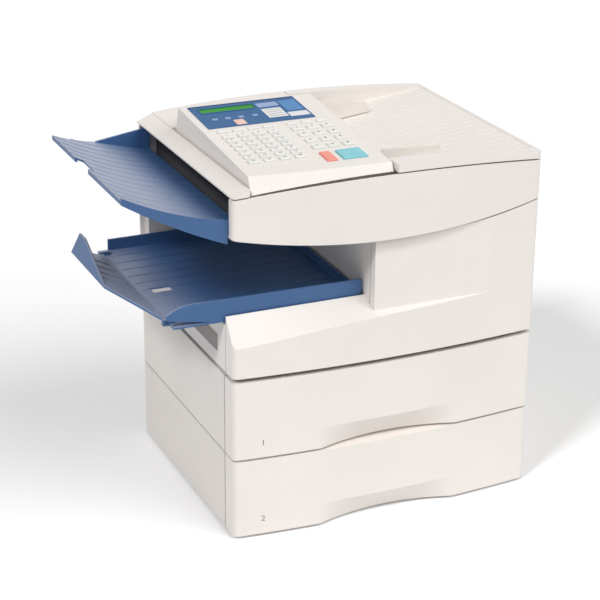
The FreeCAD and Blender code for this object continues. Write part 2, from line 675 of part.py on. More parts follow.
def right_cover():
    near = pillar_back + size.cover_gap
    plate = block("right_plate", (right - size.shell, right), (near, back - size.shell - size.running_gap),
                  (cover_low, scan_low - size.seam_gap))
    rests = []
    notches = []
    gap = size.base_gap
    for sign in (-1, 1):
        middle = size.side_spread * sign
        inward = middle - (2 * size.side_knuckle + gap) * sign
        span = (inward - size.side_knuckle, inward + size.side_knuckle)
        rests.append(rod("right_knuckle", "Y", (side_x, side_z), size.side_knuckle, span))
        notches.append(block("right_notch", (right - 4 * size.side_knuckle, right + beyond),
                             (middle - size.side_knuckle - gap, middle + size.side_knuckle + gap),
                             (cover_low - beyond, side_z + size.side_knuckle + 2 * gap)))
    solid = fuse("right_solid", cut("right_sheet", plate, *notches), *rests)
    bore = rod("right_bore", "Y", (side_x, side_z), size.side_pin + size.pin_gap, (front, back))
    piece("right_cover", cut("right_bored", solid, bore))
    for sign in (-1, 1):
        outer = (size.side_spread + size.side_knuckle) * sign
        inner = outer - (4 * size.side_knuckle + gap) * sign
        ends = (inner, outer) if sign > 0 else (outer, inner)
        hinge_pins.append(rod("right_pin", "Y", (side_x, side_z), size.side_pin, ends))


fan_x = -size.fan_inset / 2
fan_z = cover_low + size.fan_size / 2 + beyond
inlet_x = left + size.port_left
switch_x = inlet_x + size.inlet_width + size.switch_gap
socket_x = switch_x + size.switch_width + size.socket_gap
socket_wide = 2 * size.socket_size + 3 * size.socket_wall
socket_tall = size.socket_size + 2 * size.socket_wall
port_z = cover_low + size.port_height
rocker_y = back - size.rocker_inset
rocker_z = port_z + size.switch_height / 2
post_x = (left + size.post_inset, left + size.post_inset + size.post_size)
post_y = back - size.post_size


def rear_cover():
    face = (back - size.shell, back)
    plate = block("rear_plate", (left, right), face, (cover_low, scan_low - size.seam_gap))
    post = block("rear_post", (post_x[0], post_x[1]), (post_y, back), (deck_low, scan_low))
    through = (back - 2 * size.shell, back + beyond)
    gap = size.key_gap
    wall = size.switch_wall
    openings = [block("inlet_hole", (inlet_x - gap, inlet_x + size.inlet_width + gap), through,
                      (port_z - gap, port_z + size.inlet_height + gap)),
                block("switch_hole", (switch_x + wall, switch_x + size.switch_width - wall), through,
                      (port_z + wall, port_z + size.switch_height - wall)),
                block("socket_hole", (socket_x - gap, socket_x + socket_wide + gap), through,
                      (port_z - gap, port_z + socket_tall + gap))]
    half = size.fan_size / 2 - size.vent_margin
    vents = round(float(size.vent_count))
    for number in range(vents):
        low = fan_z - half + number * (2 * half - size.vent_height) / (vents - 1)
        openings.append(block("vent", (fan_x - half, fan_x + half), through, (low, low + size.vent_height)))
    recess = (back - size.shell / 2, back + beyond)
    for x in (left + size.pad_inset, 0, right - size.pad_inset):
        for z in (cover_low + size.screw_inset, scan_low - size.screw_inset):
            openings.append(rod("screw_recess", "Y", (x, z), size.screw_head, recess))
    housing, axle = switch_housing()
    walls = cut("rear_walls_open", fuse("rear_walls", plate, post), *openings)
    piece("rear_cover", fuse("rear_cover_solid", walls, housing, axle))


def output_deck():
    near = ledge_back + size.cover_gap
    wall_back = post_y
    inner = pillar_left + size.shell
    high = scan_low - size.seam_gap
    floor = block("deck_floor", (left + size.shell + size.running_gap, inner), (near, wall_back),
                  (deck_low, deck_top))
    right_wall = block("deck_right", (pillar_left, inner), (pillar_back + size.cover_gap, wall_back),
                       (deck_low, high))
    rear_wall = block("deck_rear", (post_x[1] + size.running_gap, inner), (wall_back - size.shell, wall_back),
                      (deck_low, high))
    slot_low = exit_z + size.exit_slot_low
    slot = block("exit_slot", (pillar_left - beyond, pillar_left + 2 * beyond),
                 (-size.sheet_slot / 2, size.sheet_slot / 2), (slot_low, slot_low + size.exit_slot_tall))
    piece("output_deck", cut("deck", fuse("deck_walls", floor, right_wall, rear_wall), slot))


def rollers():
    over = size.frame_thick + size.shaft_end
    ends = (frame_front - over, frame_rear + over)
    wheels = (("photoconductor_drum", drum_z, size.drum_radius, size.drum_teeth, 90),
              ("heat_roller", heat_z, size.heat_radius, size.heat_teeth, -90))
    for word, z, radius, teeth, tooth_at in wheels:
        sleeve = rod(word + "_sleeve", "Y", (drum_x, z), radius, roller_span)
        bar = rod(word + "_bar", "Y", (drum_x, z), size.drum_shaft, (ends[0], gear_end))
        piece(word, fuse(word + "_solid", sleeve, bar, gear(word + "_gear", teeth, z, tooth_at)))
    for word, x, z, radius in (("transfer_roller", transfer_x, drum_z, size.transfer_radius),
                               ("pressure_roller", pressure_x, heat_z, size.pressure_radius)):
        sleeve = rod(word + "_sleeve", "Y", (x, z), radius, roller_span)
        bar = rod(word + "_bar", "Y", (x, z), size.small_shaft, ends)
        piece(word, fuse(word + "_solid", sleeve, bar))
    tyres = [rod("exit_bar", "Y", (exit_x, exit_z), size.small_shaft, ends)]
    for number in (-1.5, -0.5, 0.5, 1.5):
        middle = size.tyre_pitch * number
        tyres.append(rod("exit_tyre", "Y", (exit_x, exit_z), size.exit_radius,
                         (middle - size.tyre_width / 2, middle + size.tyre_width / 2)))
    piece("exit_roller", fuse("exit_solid", *tyres))


def gear(name, teeth, z, tooth_at):
    """A spur gear behind the rear frame, with involute flanks and one tooth at the given angle."""
    count = round(float(teeth))
    module = float(size.gear_module)
    pitch = module * count / 2
    pressure = math.radians(20)
    base = pitch * math.cos(pressure)
    dedendum = 1.1 * module
    addendum = 0.85 * module
    root = pitch - dedendum
    tip = pitch + addendum
    half = math.pi / (2 * count) - float(size.backlash) / (2 * pitch)
    start = max(base, root)

    def flank(radius):
        angle = math.acos(min(1, base / radius))
        return half + math.tan(pressure) - pressure - math.tan(angle) + angle

    radii = [root] + [start + (tip - start) * step / 4 for step in range(5)]
    corners = []
    for tooth in range(count):
        middle = math.radians(tooth_at) + 2 * math.pi * tooth / count
        for radius in radii:
            corners.append((radius, middle - flank(max(radius, base))))
        for radius in reversed(radii):
            corners.append((radius, middle + flank(max(radius, base))))
    points = [Vector(r * math.cos(a), 0, r * math.sin(a)) for r, a in corners]
    face = Part.Face(Part.makePolygon(points + points[:1]))
    wheel = solid_shape(name, face.extrude(Vector(0, float(size.gear_thick), 0)))
    wheel.Placement = Placement(Vector(float(drum_x), float(gear_face), float(z)), Rotation())
    return wheel


def drive():
    half_tooth = 180 / float(size.pinion_teeth)
    inside = frame_rear - size.motor_length / 2
    spindle = rod("spindle", "Y", (drum_x, pinion_z), size.small_shaft, (inside, gear_end))
    wheel = gear("pinion_gear", size.pinion_teeth, pinion_z, 90 + half_tooth)
    piece("motor_pinion", fuse("pinion", spindle, wheel))
    can = rod("motor_can", "Y", (drum_x, pinion_z), size.motor_radius,
              (frame_rear - size.motor_length, frame_rear))
    room = rod("motor_room", "Y", (drum_x, pinion_z), size.small_shaft + size.pin_gap,
               (inside - size.running_gap, frame_rear + beyond))
    piece("drive_motor", cut("motor", can, room))


def engine_units():
    between = (frame_front, frame_rear)
    toner_right = drum_x - size.drum_radius - size.toner_gap
    toner_low = drum_z - size.toner_height / 2
    nose_x = toner_right - size.nose_inset
    hopper = block("toner_hopper", (toner_right - size.toner_width, nose_x), between,
                   (toner_low, toner_low + size.toner_height))
    nose = rod("toner_nose", "Y", (nose_x, drum_z), size.nose_radius, between)
    piece("toner_cartridge", fuse("toner", hopper, nose))
    laser_low = engine_low + size.base_thick + size.laser_stand
    laser_top = laser_low + size.laser_height
    slit_x = toner_right - size.slit_inset
    case = block("laser_case", (toner_right - size.laser_width, toner_right), between, (laser_low, laser_top))
    window = block("laser_window", (slit_x, slit_x + size.slit_wide),
                   (-size.sheet_slot / 2, size.sheet_slot / 2),
                   (laser_top - size.slit_deep, laser_top + beyond))
    piece("laser_unit", cut("laser", case, window))

    # power supply board on four posts, at the left
    floor = engine_low + size.base_thick
    stand = floor + size.board_stand
    x = (left + size.supply_inset, pillar_left - size.supply_inset / 2)
    y = (frame_front + size.supply_margin, frame_rear - size.supply_margin)
    wide = x[1] - x[0]
    deep = y[1] - y[0]
    tall = size.supply_tall
    supply = [block("supply_board", x, y, (stand, stand + size.board_thick))]
    for across in (x[0] + size.post_edge, x[1] - size.post_edge):
        for along in (y[0] + size.post_edge, y[1] - size.post_edge):
            supply.append(rod("supply_post", "Z", (across, along), size.post_radius, (floor, stand)))
    above = stand + size.board_thick / 2
    supply.append(block("transformer", (x[0] + wide * 0.12, x[0] + wide * 0.45),
                        (y[0] + deep * 0.26, y[0] + deep * 0.5), (above, above + tall)))
    supply.append(block("heat_sink", (x[0] + wide * 0.58, x[0] + wide * 0.61),
                        (y[0] + deep * 0.13, y[0] + deep * 0.82), (above, above + tall * 0.9)))
    for share, radius in ((0.25, size.capacitor), (0.79, size.capacitor * 0.75)):
        supply.append(rod("capacitor", "Z", (x[0] + wide * share, y[0] + deep * 0.71), radius,
                          (above, above + tall * 0.8)))
    piece("power_supply", fuse("supply", *supply))

    # control board behind the rear frame, on four posts
    near = frame_rear + size.frame_thick
    depth = near + size.control_stand
    x = (pillar_left + size.control_inset, right - size.control_inset)
    z = (engine_low + size.control_low, scan_low - size.control_low)
    wide = x[1] - x[0]
    tall = z[1] - z[0]
    board = [block("control_board", x, (depth, depth + size.board_thick), z)]
    for across in (x[0] + size.post_edge, x[1] - 2 * size.post_edge):
        for height in (z[0] + size.post_edge, z[1] - size.post_edge):
            board.append(rod("control_post", "Y", (across, height), size.post_radius, (near, depth)))
    outer = depth + size.board_thick / 2
    chips = ((0.22, 0.36, 0.15, 0.17), (0.49, 0.24, 0.12, 0.09), (0.7, 0.66, 0.18, 0.07),
             (0.33, 0.72, 0.09, 0.18))
    for share, rise, chip_wide, chip_tall in chips:
        board.append(block("chip", (x[0] + wide * share, x[0] + wide * (share + chip_wide)),
                           (outer, outer + size.chip_thick),
                           (z[0] + tall * rise, z[0] + tall * (rise + chip_tall))))
    piece("main_board", fuse("control", *board))


def fan():
    half = size.fan_size / 2
    inner = half - size.fan_wall
    span = (back - size.shell - size.fan_thick, back - size.shell)
    case = block("fan_case", (fan_x - half, fan_x + half), span, (fan_z - half, fan_z + half))
    throat = rod("fan_throat", "Y", (fan_x, fan_z), inner, (span[0] - beyond, span[1] + beyond))
    spoke_y = (span[0], span[0] + size.fan_web)
    axle = size.fan_axle
    long = inner + size.fan_wall / 2
    spokes = [block("fan_spoke", (fan_x - long, fan_x + long), spoke_y, (fan_z - axle, fan_z + axle)),
              block("fan_spoke", (fan_x - axle, fan_x + axle), spoke_y, (fan_z - long, fan_z + long)),
              rod("fan_axle", "Y", (fan_x, fan_z), axle, (span[0], span[1] - axle))]
    piece("fan_housing", fuse("fan_frame", cut("fan_ring", case, throat), *spokes))

    # the rotor, drawn about its axle: a hub with slanted blades
    web = float(size.fan_web)
    depth = float(size.fan_thick) - 2 * web
    radius = float(size.fan_hub)
    thick = float(size.blade_thick)
    sunk = float(size.fan_axle)
    long = float(half) - float(size.blade_gap) - radius + sunk
    deep = depth * 1.1
    blades = round(float(size.blade_count))
    hub = Part.makeCylinder(radius, depth, Vector(), Vector(0, 1, 0))
    for number in range(blades):
        blade = Part.makeBox(thick, deep, long, Vector(-thick / 2, -deep / 2, radius - sunk))
        blade.rotate(Vector(), Vector(0, 0, 1), float(size.blade_angle))
        blade.translate(Vector(0, depth / 2, 0))
        blade.rotate(Vector(), Vector(0, 1, 0), number * 360 / blades)
        hub = hub.fuse(blade)
    bore = Part.makeCylinder(sunk + float(size.pin_gap), 3 * depth, Vector(0, -depth, 0), Vector(0, 1, 0))
    rotor = solid_shape("rotor", hub.cut(bore))
    seat = float(span[0]) + web + web / 3
    rotor.Placement = Placement(Vector(float(fan_x), seat, float(fan_z)), Rotation())
    piece("fan_rotor", rotor)


def rear_ports():
    inside = back - size.inlet_depth
    wall = size.inlet_wall
    lip = size.flange_lip
    seat = (back - size.shell - size.flange_thick, back - size.shell)
    case = block("inlet_case", (inlet_x, inlet_x + size.inlet_width), (inside, back),
                 (port_z, port_z + size.inlet_height))
    cavity = block("inlet_cavity", (inlet_x + wall, inlet_x + size.inlet_width - wall),
                   (inside + size.inlet_floor, back + beyond),
                   (port_z + wall, port_z + size.inlet_height - wall))
    flange = block("inlet_flange", (inlet_x - lip, inlet_x + size.inlet_width + lip), seat,
                   (port_z - lip, port_z + size.inlet_height + lip))
    prongs = []
    middle = inlet_x + size.inlet_width / 2
    thin = size.prong_half
    for steps, lift in ((-1, size.prong_low), (0, size.prong_high), (1, size.prong_low)):
        x = middle + steps * size.prong_pitch
        prongs.append(block("inlet_prong", (x - thin, x + thin), (inside + lip, back - lip),
                            (port_z + lift - 2 * thin, port_z + lift + 2 * thin)))
    hollow = cut("inlet_hollow", fuse("inlet_body", case, flange), cavity)
    piece("power_inlet", fuse("inlet", hollow, *prongs))

    deep = size.socket_depth
    lip = size.socket_lip
    body = block("socket_case", (socket_x, socket_x + socket_wide), (back - deep, back),
                 (port_z, port_z + socket_tall))
    rim = block("socket_rim", (socket_x - lip, socket_x + socket_wide + lip), seat,
                (port_z - lip, port_z + socket_tall + lip))
    holes = []
    for number in range(2):
        low = socket_x + size.socket_wall + number * (size.socket_size + size.socket_wall)
        holes.append(block("socket_room", (low, low + size.socket_size),
                           (back - deep + size.socket_floor, back + beyond),
                           (port_z + size.socket_wall, port_z + size.socket_wall + size.socket_size)))
    piece("phone_sockets", cut("sockets", fuse("socket_solid", body, rim), *holes))


def switch_housing():
    """The rocker switch's walls behind the rear cover and the axle the rocker turns on."""
    wall = size.switch_wall
    outer = block("switch_case", (switch_x, switch_x + size.switch_width), (back - size.switch_depth, back),
                  (port_z, port_z + size.switch_height))
    room = block("switch_room", (switch_x + wall, switch_x + size.switch_width - wall),
                 (back - size.switch_depth + wall, back + beyond),
                 (port_z + wall, port_z + size.switch_height - wall))
    axle = rod("switch_axle", "X", (rocker_y, rocker_z), size.switch_axle,
               (switch_x + wall / 2, switch_x + size.switch_width - wall / 2))
    return cut("switch_walls", outer, room), axle


def power_switch():
    """The rocker, drawn about its axle and resting on its lower stop."""
    half = size.switch_height / 2 - size.switch_wall - size.rocker_margin
    wide = size.switch_width / 2 - size.switch_wall - size.key_gap
    face = size.rocker_face
    tail = -size.rocker_back
    narrow = half - size.rocker_back / 3
    profile = [(tail, -narrow), (tail, narrow), (face, half), (face - size.rocker_dip, 0), (face, -half)]
    hole = rod("rocker_hole", "X", (0, 0), size.switch_axle + size.pin_gap, (-2 * wide, 2 * wide))
    rocker = cut("rocker_bored", prism("rocker", "YZ", profile, -wide, wide), hole)
    rocker.Placement = Placement(Vector(), Rotation(Vector(1, 0, 0), float(size.switch_throw) / 2))
    place(rocker, switch_x + size.switch_width / 2, rocker_y, rocker_z)
    piece("power_switch", rocker)


# Print tray: floor, side walls and a hinged end with a stop fin.
tray_right = pillar_left - size.tray_gap
tray_left = left - size.tray_reach
tray_front = ledge_back + size.cover_gap + size.running_gap
tray_rear = post_y - size.shell - size.tray_rear_gap
end_x = tray_left - size.end_hinge
end_z = deck_top + size.end_hinge
end_half = (tray_rear - tray_front) / 2 - size.end_margin


def print_tray():
    wall = size.tray_wall
    low = deck_top
    top = low + size.tray_front_height
    floor = block("tray_floor", (tray_left, tray_right), (tray_front, tray_rear), (low, low + wall))
    tip = left - size.tray_tip
    profile = [(tray_right, low), (tray_right, top),
               (left - size.wall_turn, top + size.wall_crest, size.tip_lean), (tip, low + size.tip_high),
               (tip + size.tip_lean, low + size.tip_low), (left - size.tray_gap, low)]
    front_wall = prism("tray_front_wall", "XZ", profile, tray_front, tray_front + wall)
    rear_wall = block("tray_rear_wall", (tray_left + size.tray_rear_short, tray_right),
                      (tray_rear - wall, tray_rear), (low, low + size.tray_rear_height))
    right_wall = block("tray_right_wall", (tray_right - wall, tray_right), (tray_front, tray_rear),
                       (low, low + size.tray_stop_height))
    added = [floor, front_wall, rear_wall, right_wall]
    lines = 11
    for number in range(1, lines):
        y = tray_front + (tray_rear - tray_front) * number / lines
        added.append(block("tray_rib", (tray_left + size.rib_margin, tray_right - 2 * size.rib_margin),
                           (y - size.rib, y + size.rib), (low + wall / 2, low + wall + size.rib)))
    ear = size.end_ear
    for y_low in (-end_half - size.ear_gap - ear, end_half + size.ear_gap):
        added.append(block("tray_ear", (end_x - size.ear_half, tray_left + ear), (y_low, y_low + ear),
                           (low, end_z + size.ear_half)))
    bore = rod("tray_ear_bore", "Y", (end_x, end_z), size.end_pin + size.pin_gap,
               (-end_half - 2 * ear, end_half + 2 * ear))
    window_x = tray_left + size.window_left
    window = block("tray_window", (window_x, window_x + size.window_long),
                   (size.window_front, size.window_front + size.window_wide),
                   (low - beyond, low + 2 * beyond))
    piece("print_tray", cut("tray_bored", fuse("tray_solid", *added), bore, window))

    # the end plate lies along the hinge line and is turned up by its angle
    half = size.end_thick / 2
    far = -size.end_length
    near_tip = size.end_near_taper - end_half
    rear_tip = end_half - size.end_rear_taper
    plan = [(size.end_pin, -end_half), (size.end_pin, end_half), (far, rear_tip), (far, near_tip)]
    plate = prism("end_plate", "XY", plan, -half, half)
    profile = [(near_tip, -half), (rear_tip, -half), (rear_tip, size.fin_height),
               (rear_tip - size.fin_top, size.fin_height), (near_tip + size.end_thick, half)]
    fin = prism("end_fin", "YZ", profile, far, far + size.end_thick)
    added = [rod("end_pin", "Y", (0, 0), size.end_pin, (-end_half - ear, end_half + ear))]
    lines = 5
    for number in range(lines):
        y = near_tip + (rear_tip - near_tip) * (number + 0.5) / lines
        added.append(block("end_rib", (far + size.end_thick, -2 * size.rib_margin),
                           (y - size.rib, y + size.rib), (0, half + size.rib)))
    tray_end = fuse("tray_end_solid", plate, fin, *added)
    tray_end.Placement = Placement(Vector(), Rotation(Vector(0, 1, 0), float(size.end_angle)))
    place(tray_end, end_x, 0, end_z)
    piece("print_tray_end", tray_end)


# Scanner: base, front panel, fixed top covers and document path.
seam_end = scan_low + size.seam_low
seam_top = seam_end + size.seam_rise
rim_end = seam_end + size.rim_band
scan_near = front + size.scan_front
base_floor = scan_low + size.shell
table_x = size.table_left
pocket_half = size.body_depth / 2 - size.table_rim
table_end = right - size.table_end
slope = (size.table_high - size.table_low) / (table_end - table_x)
panel_right = -size.panel_right
axis_y = back - size.panel_axis_back
deck_front = axis_y + size.panel_swing
axis_z = scan_low + size.panel_axis_height
panel_lugs = (left + size.panel_left + size.lug_inset, panel_right - size.lug_inset - size.lug_thick)


def table_at(x):
    return scan_low + size.table_low + (as_size(x) - table_x) * slope


def scanner_base():
    plan = [(left, scan_near), (right, scan_near), (right, back), (left, back)]
    outer = prism("scan_outer", "XY", plan, scan_low, seam_top + beyond)
    round_edges(outer, size.corner_radius,
                lambda edge: is_upright(edge) and abs(edge.Vertexes[0].Y - float(back)) < 0.01)
    hollow = block("scan_hollow", (left + size.shell, right - size.shell),
                   (scan_near + size.shell, back - size.shell), (base_floor, seam_top + 2 * beyond))
    mouth = block("scan_mouth", (left - beyond, left + 2 * beyond),
                  (scan_near + size.shell, back - size.corner_radius), (base_floor, seam_top + 2 * beyond))
    under = arch_region("scan_under_seam", seam_end, size.seam_rise, scan_low - beyond)
    shell = common("scan_shell", cut("scan_walls", outer, hollow, mouth), under)
    bores = []
    for x, z in document_rollers():
        bores.append(rod("scan_bore", "Y", (x, z), size.small_shaft + size.pin_gap,
                         (scan_near - beyond, back - size.shell / 2)))
    piece("scanner_base", cut("scan_base", shell, *bores))


def document_rollers():
    height = scan_low + size.path_height - size.feed_radius
    return ((right - size.feed_inset, height + size.feed_lift),
            (right - size.out_inset, height - size.out_drop))


def scanner_front():
    outer = bowed_block("lens_outer", (lens_low - beyond, seam_top + beyond), scan_near)
    hollow = bowed_block("lens_hollow", (lens_low - 2 * beyond, seam_top + 2 * beyond), scan_near + beyond,
                         size.shell)
    over = arch_region("lens_over", scan_low, -size.lens_sag, seam_top + 4 * beyond)
    under = arch_region("lens_under", seam_end, size.seam_rise, lens_low - 4 * beyond)
    piece("scanner_front_panel", common("lens", cut("lens_shell", outer, hollow), over, under))


def top_slab(name, x, y):
    """The crowned top band between the seam and the rim, within limits across and along."""
    plan = bowed_block(name + "_plan", (seam_end - beyond, rim_end + 6 * beyond), back)
    over = arch_region(name + "_over", seam_end + size.seam_gap, size.seam_rise, rim_end + 8 * beyond)
    under = arch_region(name + "_under", rim_end, size.seam_rise, seam_end - 4 * beyond)
    window = block(name + "_window", x, y, (seam_end - beyond, rim_end + 8 * beyond))
    return common(name, plan, over, under, window)


def top_post(name, x, y, low=None):
    """A screw post from a top cover, down to the scanner floor unless it stops earlier."""
    wide = size.post_width
    return block(name, (x, x + wide), y, (low or base_floor, seam_end + 2 * size.seam_gap))


def document_table():
    slab = top_slab("table_slab", (table_x, right + beyond), (front * 2, back + beyond))
    wall = size.table_floor
    edge = table_x - beyond
    high = rim_end + 8 * beyond
    profile = [(table_x, table_at(table_x) - wall), (table_end, table_at(table_end) - wall),
               (table_end, rim_end), (table_x, rim_end)]
    under = prism("table_under", "XZ", profile, -pocket_half - wall, pocket_half + wall)
    profile = [(edge, table_at(edge)), (table_end, table_at(table_end)), (table_end, high), (edge, high)]
    pocket = prism("table_pocket", "XZ", profile, -pocket_half, pocket_half)
    below_rim = arch_region("table_below_rim", rim_end, size.seam_rise, scan_low)
    solid = [cut("table_dished", common("table_body", fuse("table_mass", slab, under), below_rim), pocket)]
    lines = int(2 * float(pocket_half) / float(size.rib_pitch))
    x0 = table_x + 2 * size.rib_margin
    x1 = table_end - size.rib_margin
    profile = [(x0, table_at(x0) - wall / 2), (x1, table_at(x1) - wall / 2), (x1, table_at(x1) + size.rib),
               (x0, table_at(x0) + size.rib)]
    for number in range(lines):
        y = (number - (lines - 1) / 2) * size.rib_pitch
        solid.append(prism("table_rib", "XZ", profile, y - size.rib, y + size.rib))
    for x in (table_x + size.pad_inset, right - size.pad_inset):
        solid.append(top_post("table_post", x, (scan_near + size.shell, -pocket_half - wall)))
        solid.append(top_post("table_post", x, (pocket_half + wall, pocket_half + wall + size.post_width)))
    piece("document_table", fuse("table", *solid))


def left_top_cover():
    inner = left + size.shoulder_width
    plan = bowed_block("shoulder_plan", (seam_end - beyond, rim_end + 4 * beyond), back)
    edge = seam_end + size.shoulder_edge
    profile = [(left - beyond, seam_end - 2 * beyond), (inner, seam_end - 2 * beyond),
               (inner, seam_end + size.shoulder_rise), (left, edge),
               (left - beyond, edge - size.shoulder_fall)]
    section = prism("shoulder_section", "XZ", profile, front * 2, back * 2)
    over = arch_region("shoulder_over", seam_end + size.seam_gap, size.seam_rise, rim_end + 8 * beyond)
    shoulder = common("shoulder", plan, section, over)
    deck = top_slab("rear_deck", (inner, table_x - size.seam_gap), (deck_front, back + beyond))
    lugs = []
    half = size.lug_half
    for x_low in panel_lugs:
        lugs.append(block("panel_lug", (x_low, x_low + size.lug_thick),
                          (axis_y - half, deck_front + half / 2), (axis_z - half, axis_z + half)))
    rear = (back - 2 * size.post_width, back - size.post_width)
    posts = [top_post("left_top_post", left + size.panel_left + size.post_width, rear),
             top_post("left_top_post", -size.pad_inset, rear),
             top_post("left_top_tab", left + size.shell + size.base_gap,
                      (scan_near + size.shell, scan_near + 2 * size.shell), seam_end - size.post_width)]
    solid = fuse("left_top_solid", shoulder, deck, *lugs, *posts)
    bore = rod("panel_lug_bore", "X", (axis_y, axis_z), size.panel_pin, (left + size.shoulder_width, table_x))
    piece("left_top_cover", cut("left_top_bored", solid, bore))


def document_guides():
    for word, sign in (("front", -1), ("rear", 1)):
        outer = (pocket_half - size.guide_margin) * sign
        inner = outer - size.guide_reach * sign
        fence = inner + size.fence_thick * sign
        x0 = size.guide_left
        x1 = size.guide_left + size.guide_length
        low0 = table_at(x0) + size.guide_lift
        low1 = table_at(x1) + size.guide_lift
        plate = [(x0, low0), (x1, low1), (x1, low1 + size.guide_thick), (x0, low0 + size.guide_thick)]
        upright = [(x0, low0), (x1, low1), (x1 - size.fence_taper, scan_low + size.fence_right),
                   (x0 + size.fence_taper, scan_low + size.fence_left)]
        sides = []
        for name, limit, points in (("plate", outer, plate), ("fence", fence, upright)):
            span = (inner, limit) if sign > 0 else (limit, inner)
            sides.append(prism(f"{word}_guide_{name}", "XZ", points, *span))
        piece(word + "_document_guide", fuse(word + "_document_guide_solid", *sides))


def document_path():
    ends = (scan_near, back - size.shell / 2 - size.running_gap)
    for word, (x, z) in zip(("document_feed_roller", "document_exit_roller"), document_rollers()):
        tyres = [rod(word + "_bar", "Y", (x, z), size.small_shaft, ends)]
        for number in (-1, 0, 1):
            middle = size.feed_pitch * number
            tyres.append(rod(word + "_tyre", "Y", (x, z), size.feed_radius,
                             (middle - size.feed_half, middle + size.feed_half)))
        piece(word, fuse(word + "_solid", *tyres))
    x = right - size.sensor_inset
    path = scan_low + size.path_height
    top = path - size.glass_thick
    half = size.sheet_slot / 2 + size.sensor_margin
    bar = block("sensor_bar", (x, x + size.sensor_width), (-half, half), (base_floor, top))
    glass = block("sensor_glass", (x - size.glass_lip, x + size.sensor_width + size.glass_lip), (-half, half),
                  (top, path))
    piece("image_sensor", fuse("sensor", bar, glass))

    # dark guide wall just inside the left mouth, with the slot that originals leave by
    gap = size.base_gap
    x = left + size.shoulder_width + size.exit_wall_gap
    y = (scan_near + size.shell + gap, back - size.corner_radius - gap)
    wall = block("exit_wall", (x, x + size.exit_wall), y, (base_floor, seam_end - gap))
    slot = block("exit_gap", (x - beyond, x + 2 * beyond), (-size.sheet_slot / 2, size.sheet_slot / 2),
                 (path - size.exit_gap_low, path + size.exit_gap_high))
    piece("document_exit_guide", cut("exit_guide", wall, slot))


def original_tray():
    start = left + size.shell + size.upper_tail
    end = left - size.upper_reach
    low = scan_low + size.upper_start
    high = low + size.upper_rise
    wall = size.upper_wall
    sag = size.upper_sag
    y0 = scan_near + size.shell + size.upper_side
    y1 = back - size.corner_radius - size.upper_end_gap

    def strip(name, y, top, bottom):
        points = [(start, low + bottom), (start, low + top, -sag), (end, high + top),
                  (end, high + bottom, sag)]
        return prism(name, "XZ", points, *y)

    solid = [strip("upper_floor", (y0, y1), 0, -wall)]
    lines = 13
    for number in range(1, lines):
        y = y0 + (y1 - y0) * number / lines
        solid.append(strip("upper_rib", (y - size.rib, y + size.rib), size.rib, -wall / 2))
    foot = base_floor + size.running_gap
    lip = high - size.upper_lip
    mouth = left - 2 * size.running_gap
    front_wall = [(start, foot), (start, low + wall, -sag), (end, high + wall), (end, lip, sag / 2),
                  (mouth, foot - size.upper_drop), (mouth, foot)]
    solid.append(prism("upper_front_wall", "XZ", front_wall, y0 - wall, y0))
    # the rear wall falls to the floor's own level where the rear edge begins to draw in
    web_end = start - size.upper_web
    share = size.upper_web / (start - end)
    web_height = low + size.upper_rise * share - 4 * sag * share * (1 - share) + size.rib
    rear_wall = [(start, foot), (start, seam_end - size.seam_gap), (web_end, web_height),
                 (web_end, web_height - size.upper_lip)]
    solid.append(prism("upper_rear_wall", "XZ", rear_wall, y1 - wall, y1))
    end_lip = [(end, high), (end, lip), (end + wall, lip - wall / 2), (end + wall, high - wall / 2)]
    solid.append(prism("upper_end_lip", "XZ", end_lip, y0, y1))
    middle = -size.notch_shift
    notch = block("upper_notch", (end - beyond, end + size.notch_depth),
                  (middle - size.notch_width / 2, middle + size.notch_width / 2), (low, high + 4 * beyond))
    # the rear edge draws in towards the tip
    bend = end + size.upper_taper
    narrow = y1 - size.upper_narrow
    taper = [(bend, y1 + beyond), (bend, y1), (end, narrow), (end - beyond, narrow),
             (end - beyond, y1 + beyond)]
    trim = prism("upper_taper", "XY", taper, low - beyond, high + 4 * beyond)
    piece("original_tray", cut("upper_tray", fuse("upper_solid", *solid), notch, trim))


# Operation panel: hinged case with its display and keys.
panel_x = (left + size.panel_left, panel_right)
panel_y = front + size.panel_front
panel_z = scan_low + size.panel_front_height
panel_floor = scan_low + size.panel_low
tilt = size.panel_tilt
panel_turn = Rotation(Vector(1, 0, 0), float(tilt))
panel_place = Placement(Vector(0, float(panel_y), float(panel_z)), panel_turn)
back_y = axis_y - size.panel_tail
back_z = panel_z + (back_y - panel_y) * sine(tilt) / cosine(tilt)


def panel_hull(name, inset):
    """The panel case: leaning front that follows the bow, tilted top, leaning back."""
    lean = size.panel_front_inset / (panel_z - seam_end)
    tall = 60
    plans = []
    for height in (-2 * beyond, tall):
        near = front + lean * as_size(height) + inset
        plans.append((seam_end + height, [(left + inset, near, size.front_bow), (right - inset, near),
                                          (right - inset, back), (left + inset, back)]))
    hull = loft(name + "_hull", "XY", plans, True)
    drop = inset / cosine(tilt)
    ahead = 40
    foot = panel_floor if not float(inset) else panel_floor - 2 * beyond
    side = [(panel_y - ahead, foot), (back_y + size.panel_lean - inset, foot),
            (back_y + size.panel_lean - inset, panel_floor), (back_y - inset, back_z - drop),
            (panel_y - ahead, panel_z - drop - ahead * sine(tilt) / cosine(tilt))]
    if not float(inset):
        side.pop(2)
    section = prism(name + "_section", "YZ", side, panel_x[0] + inset, as_size(panel_x[1]) - inset)
    return common(name, hull, section)


def on_panel(shape):
    shape.Placement = panel_place.multiply(shape.Placement)
    return shape


def panel_box(x, along, w):
    """A box in the panel's own frame: across, along the slope and above its top face."""
    low = Vector(float(x[0]), float(along[0]), float(w[0]))
    spans = [float(high) - float(first) for first, high in (x, along, w)]
    return Part.makeBox(*spans, low)


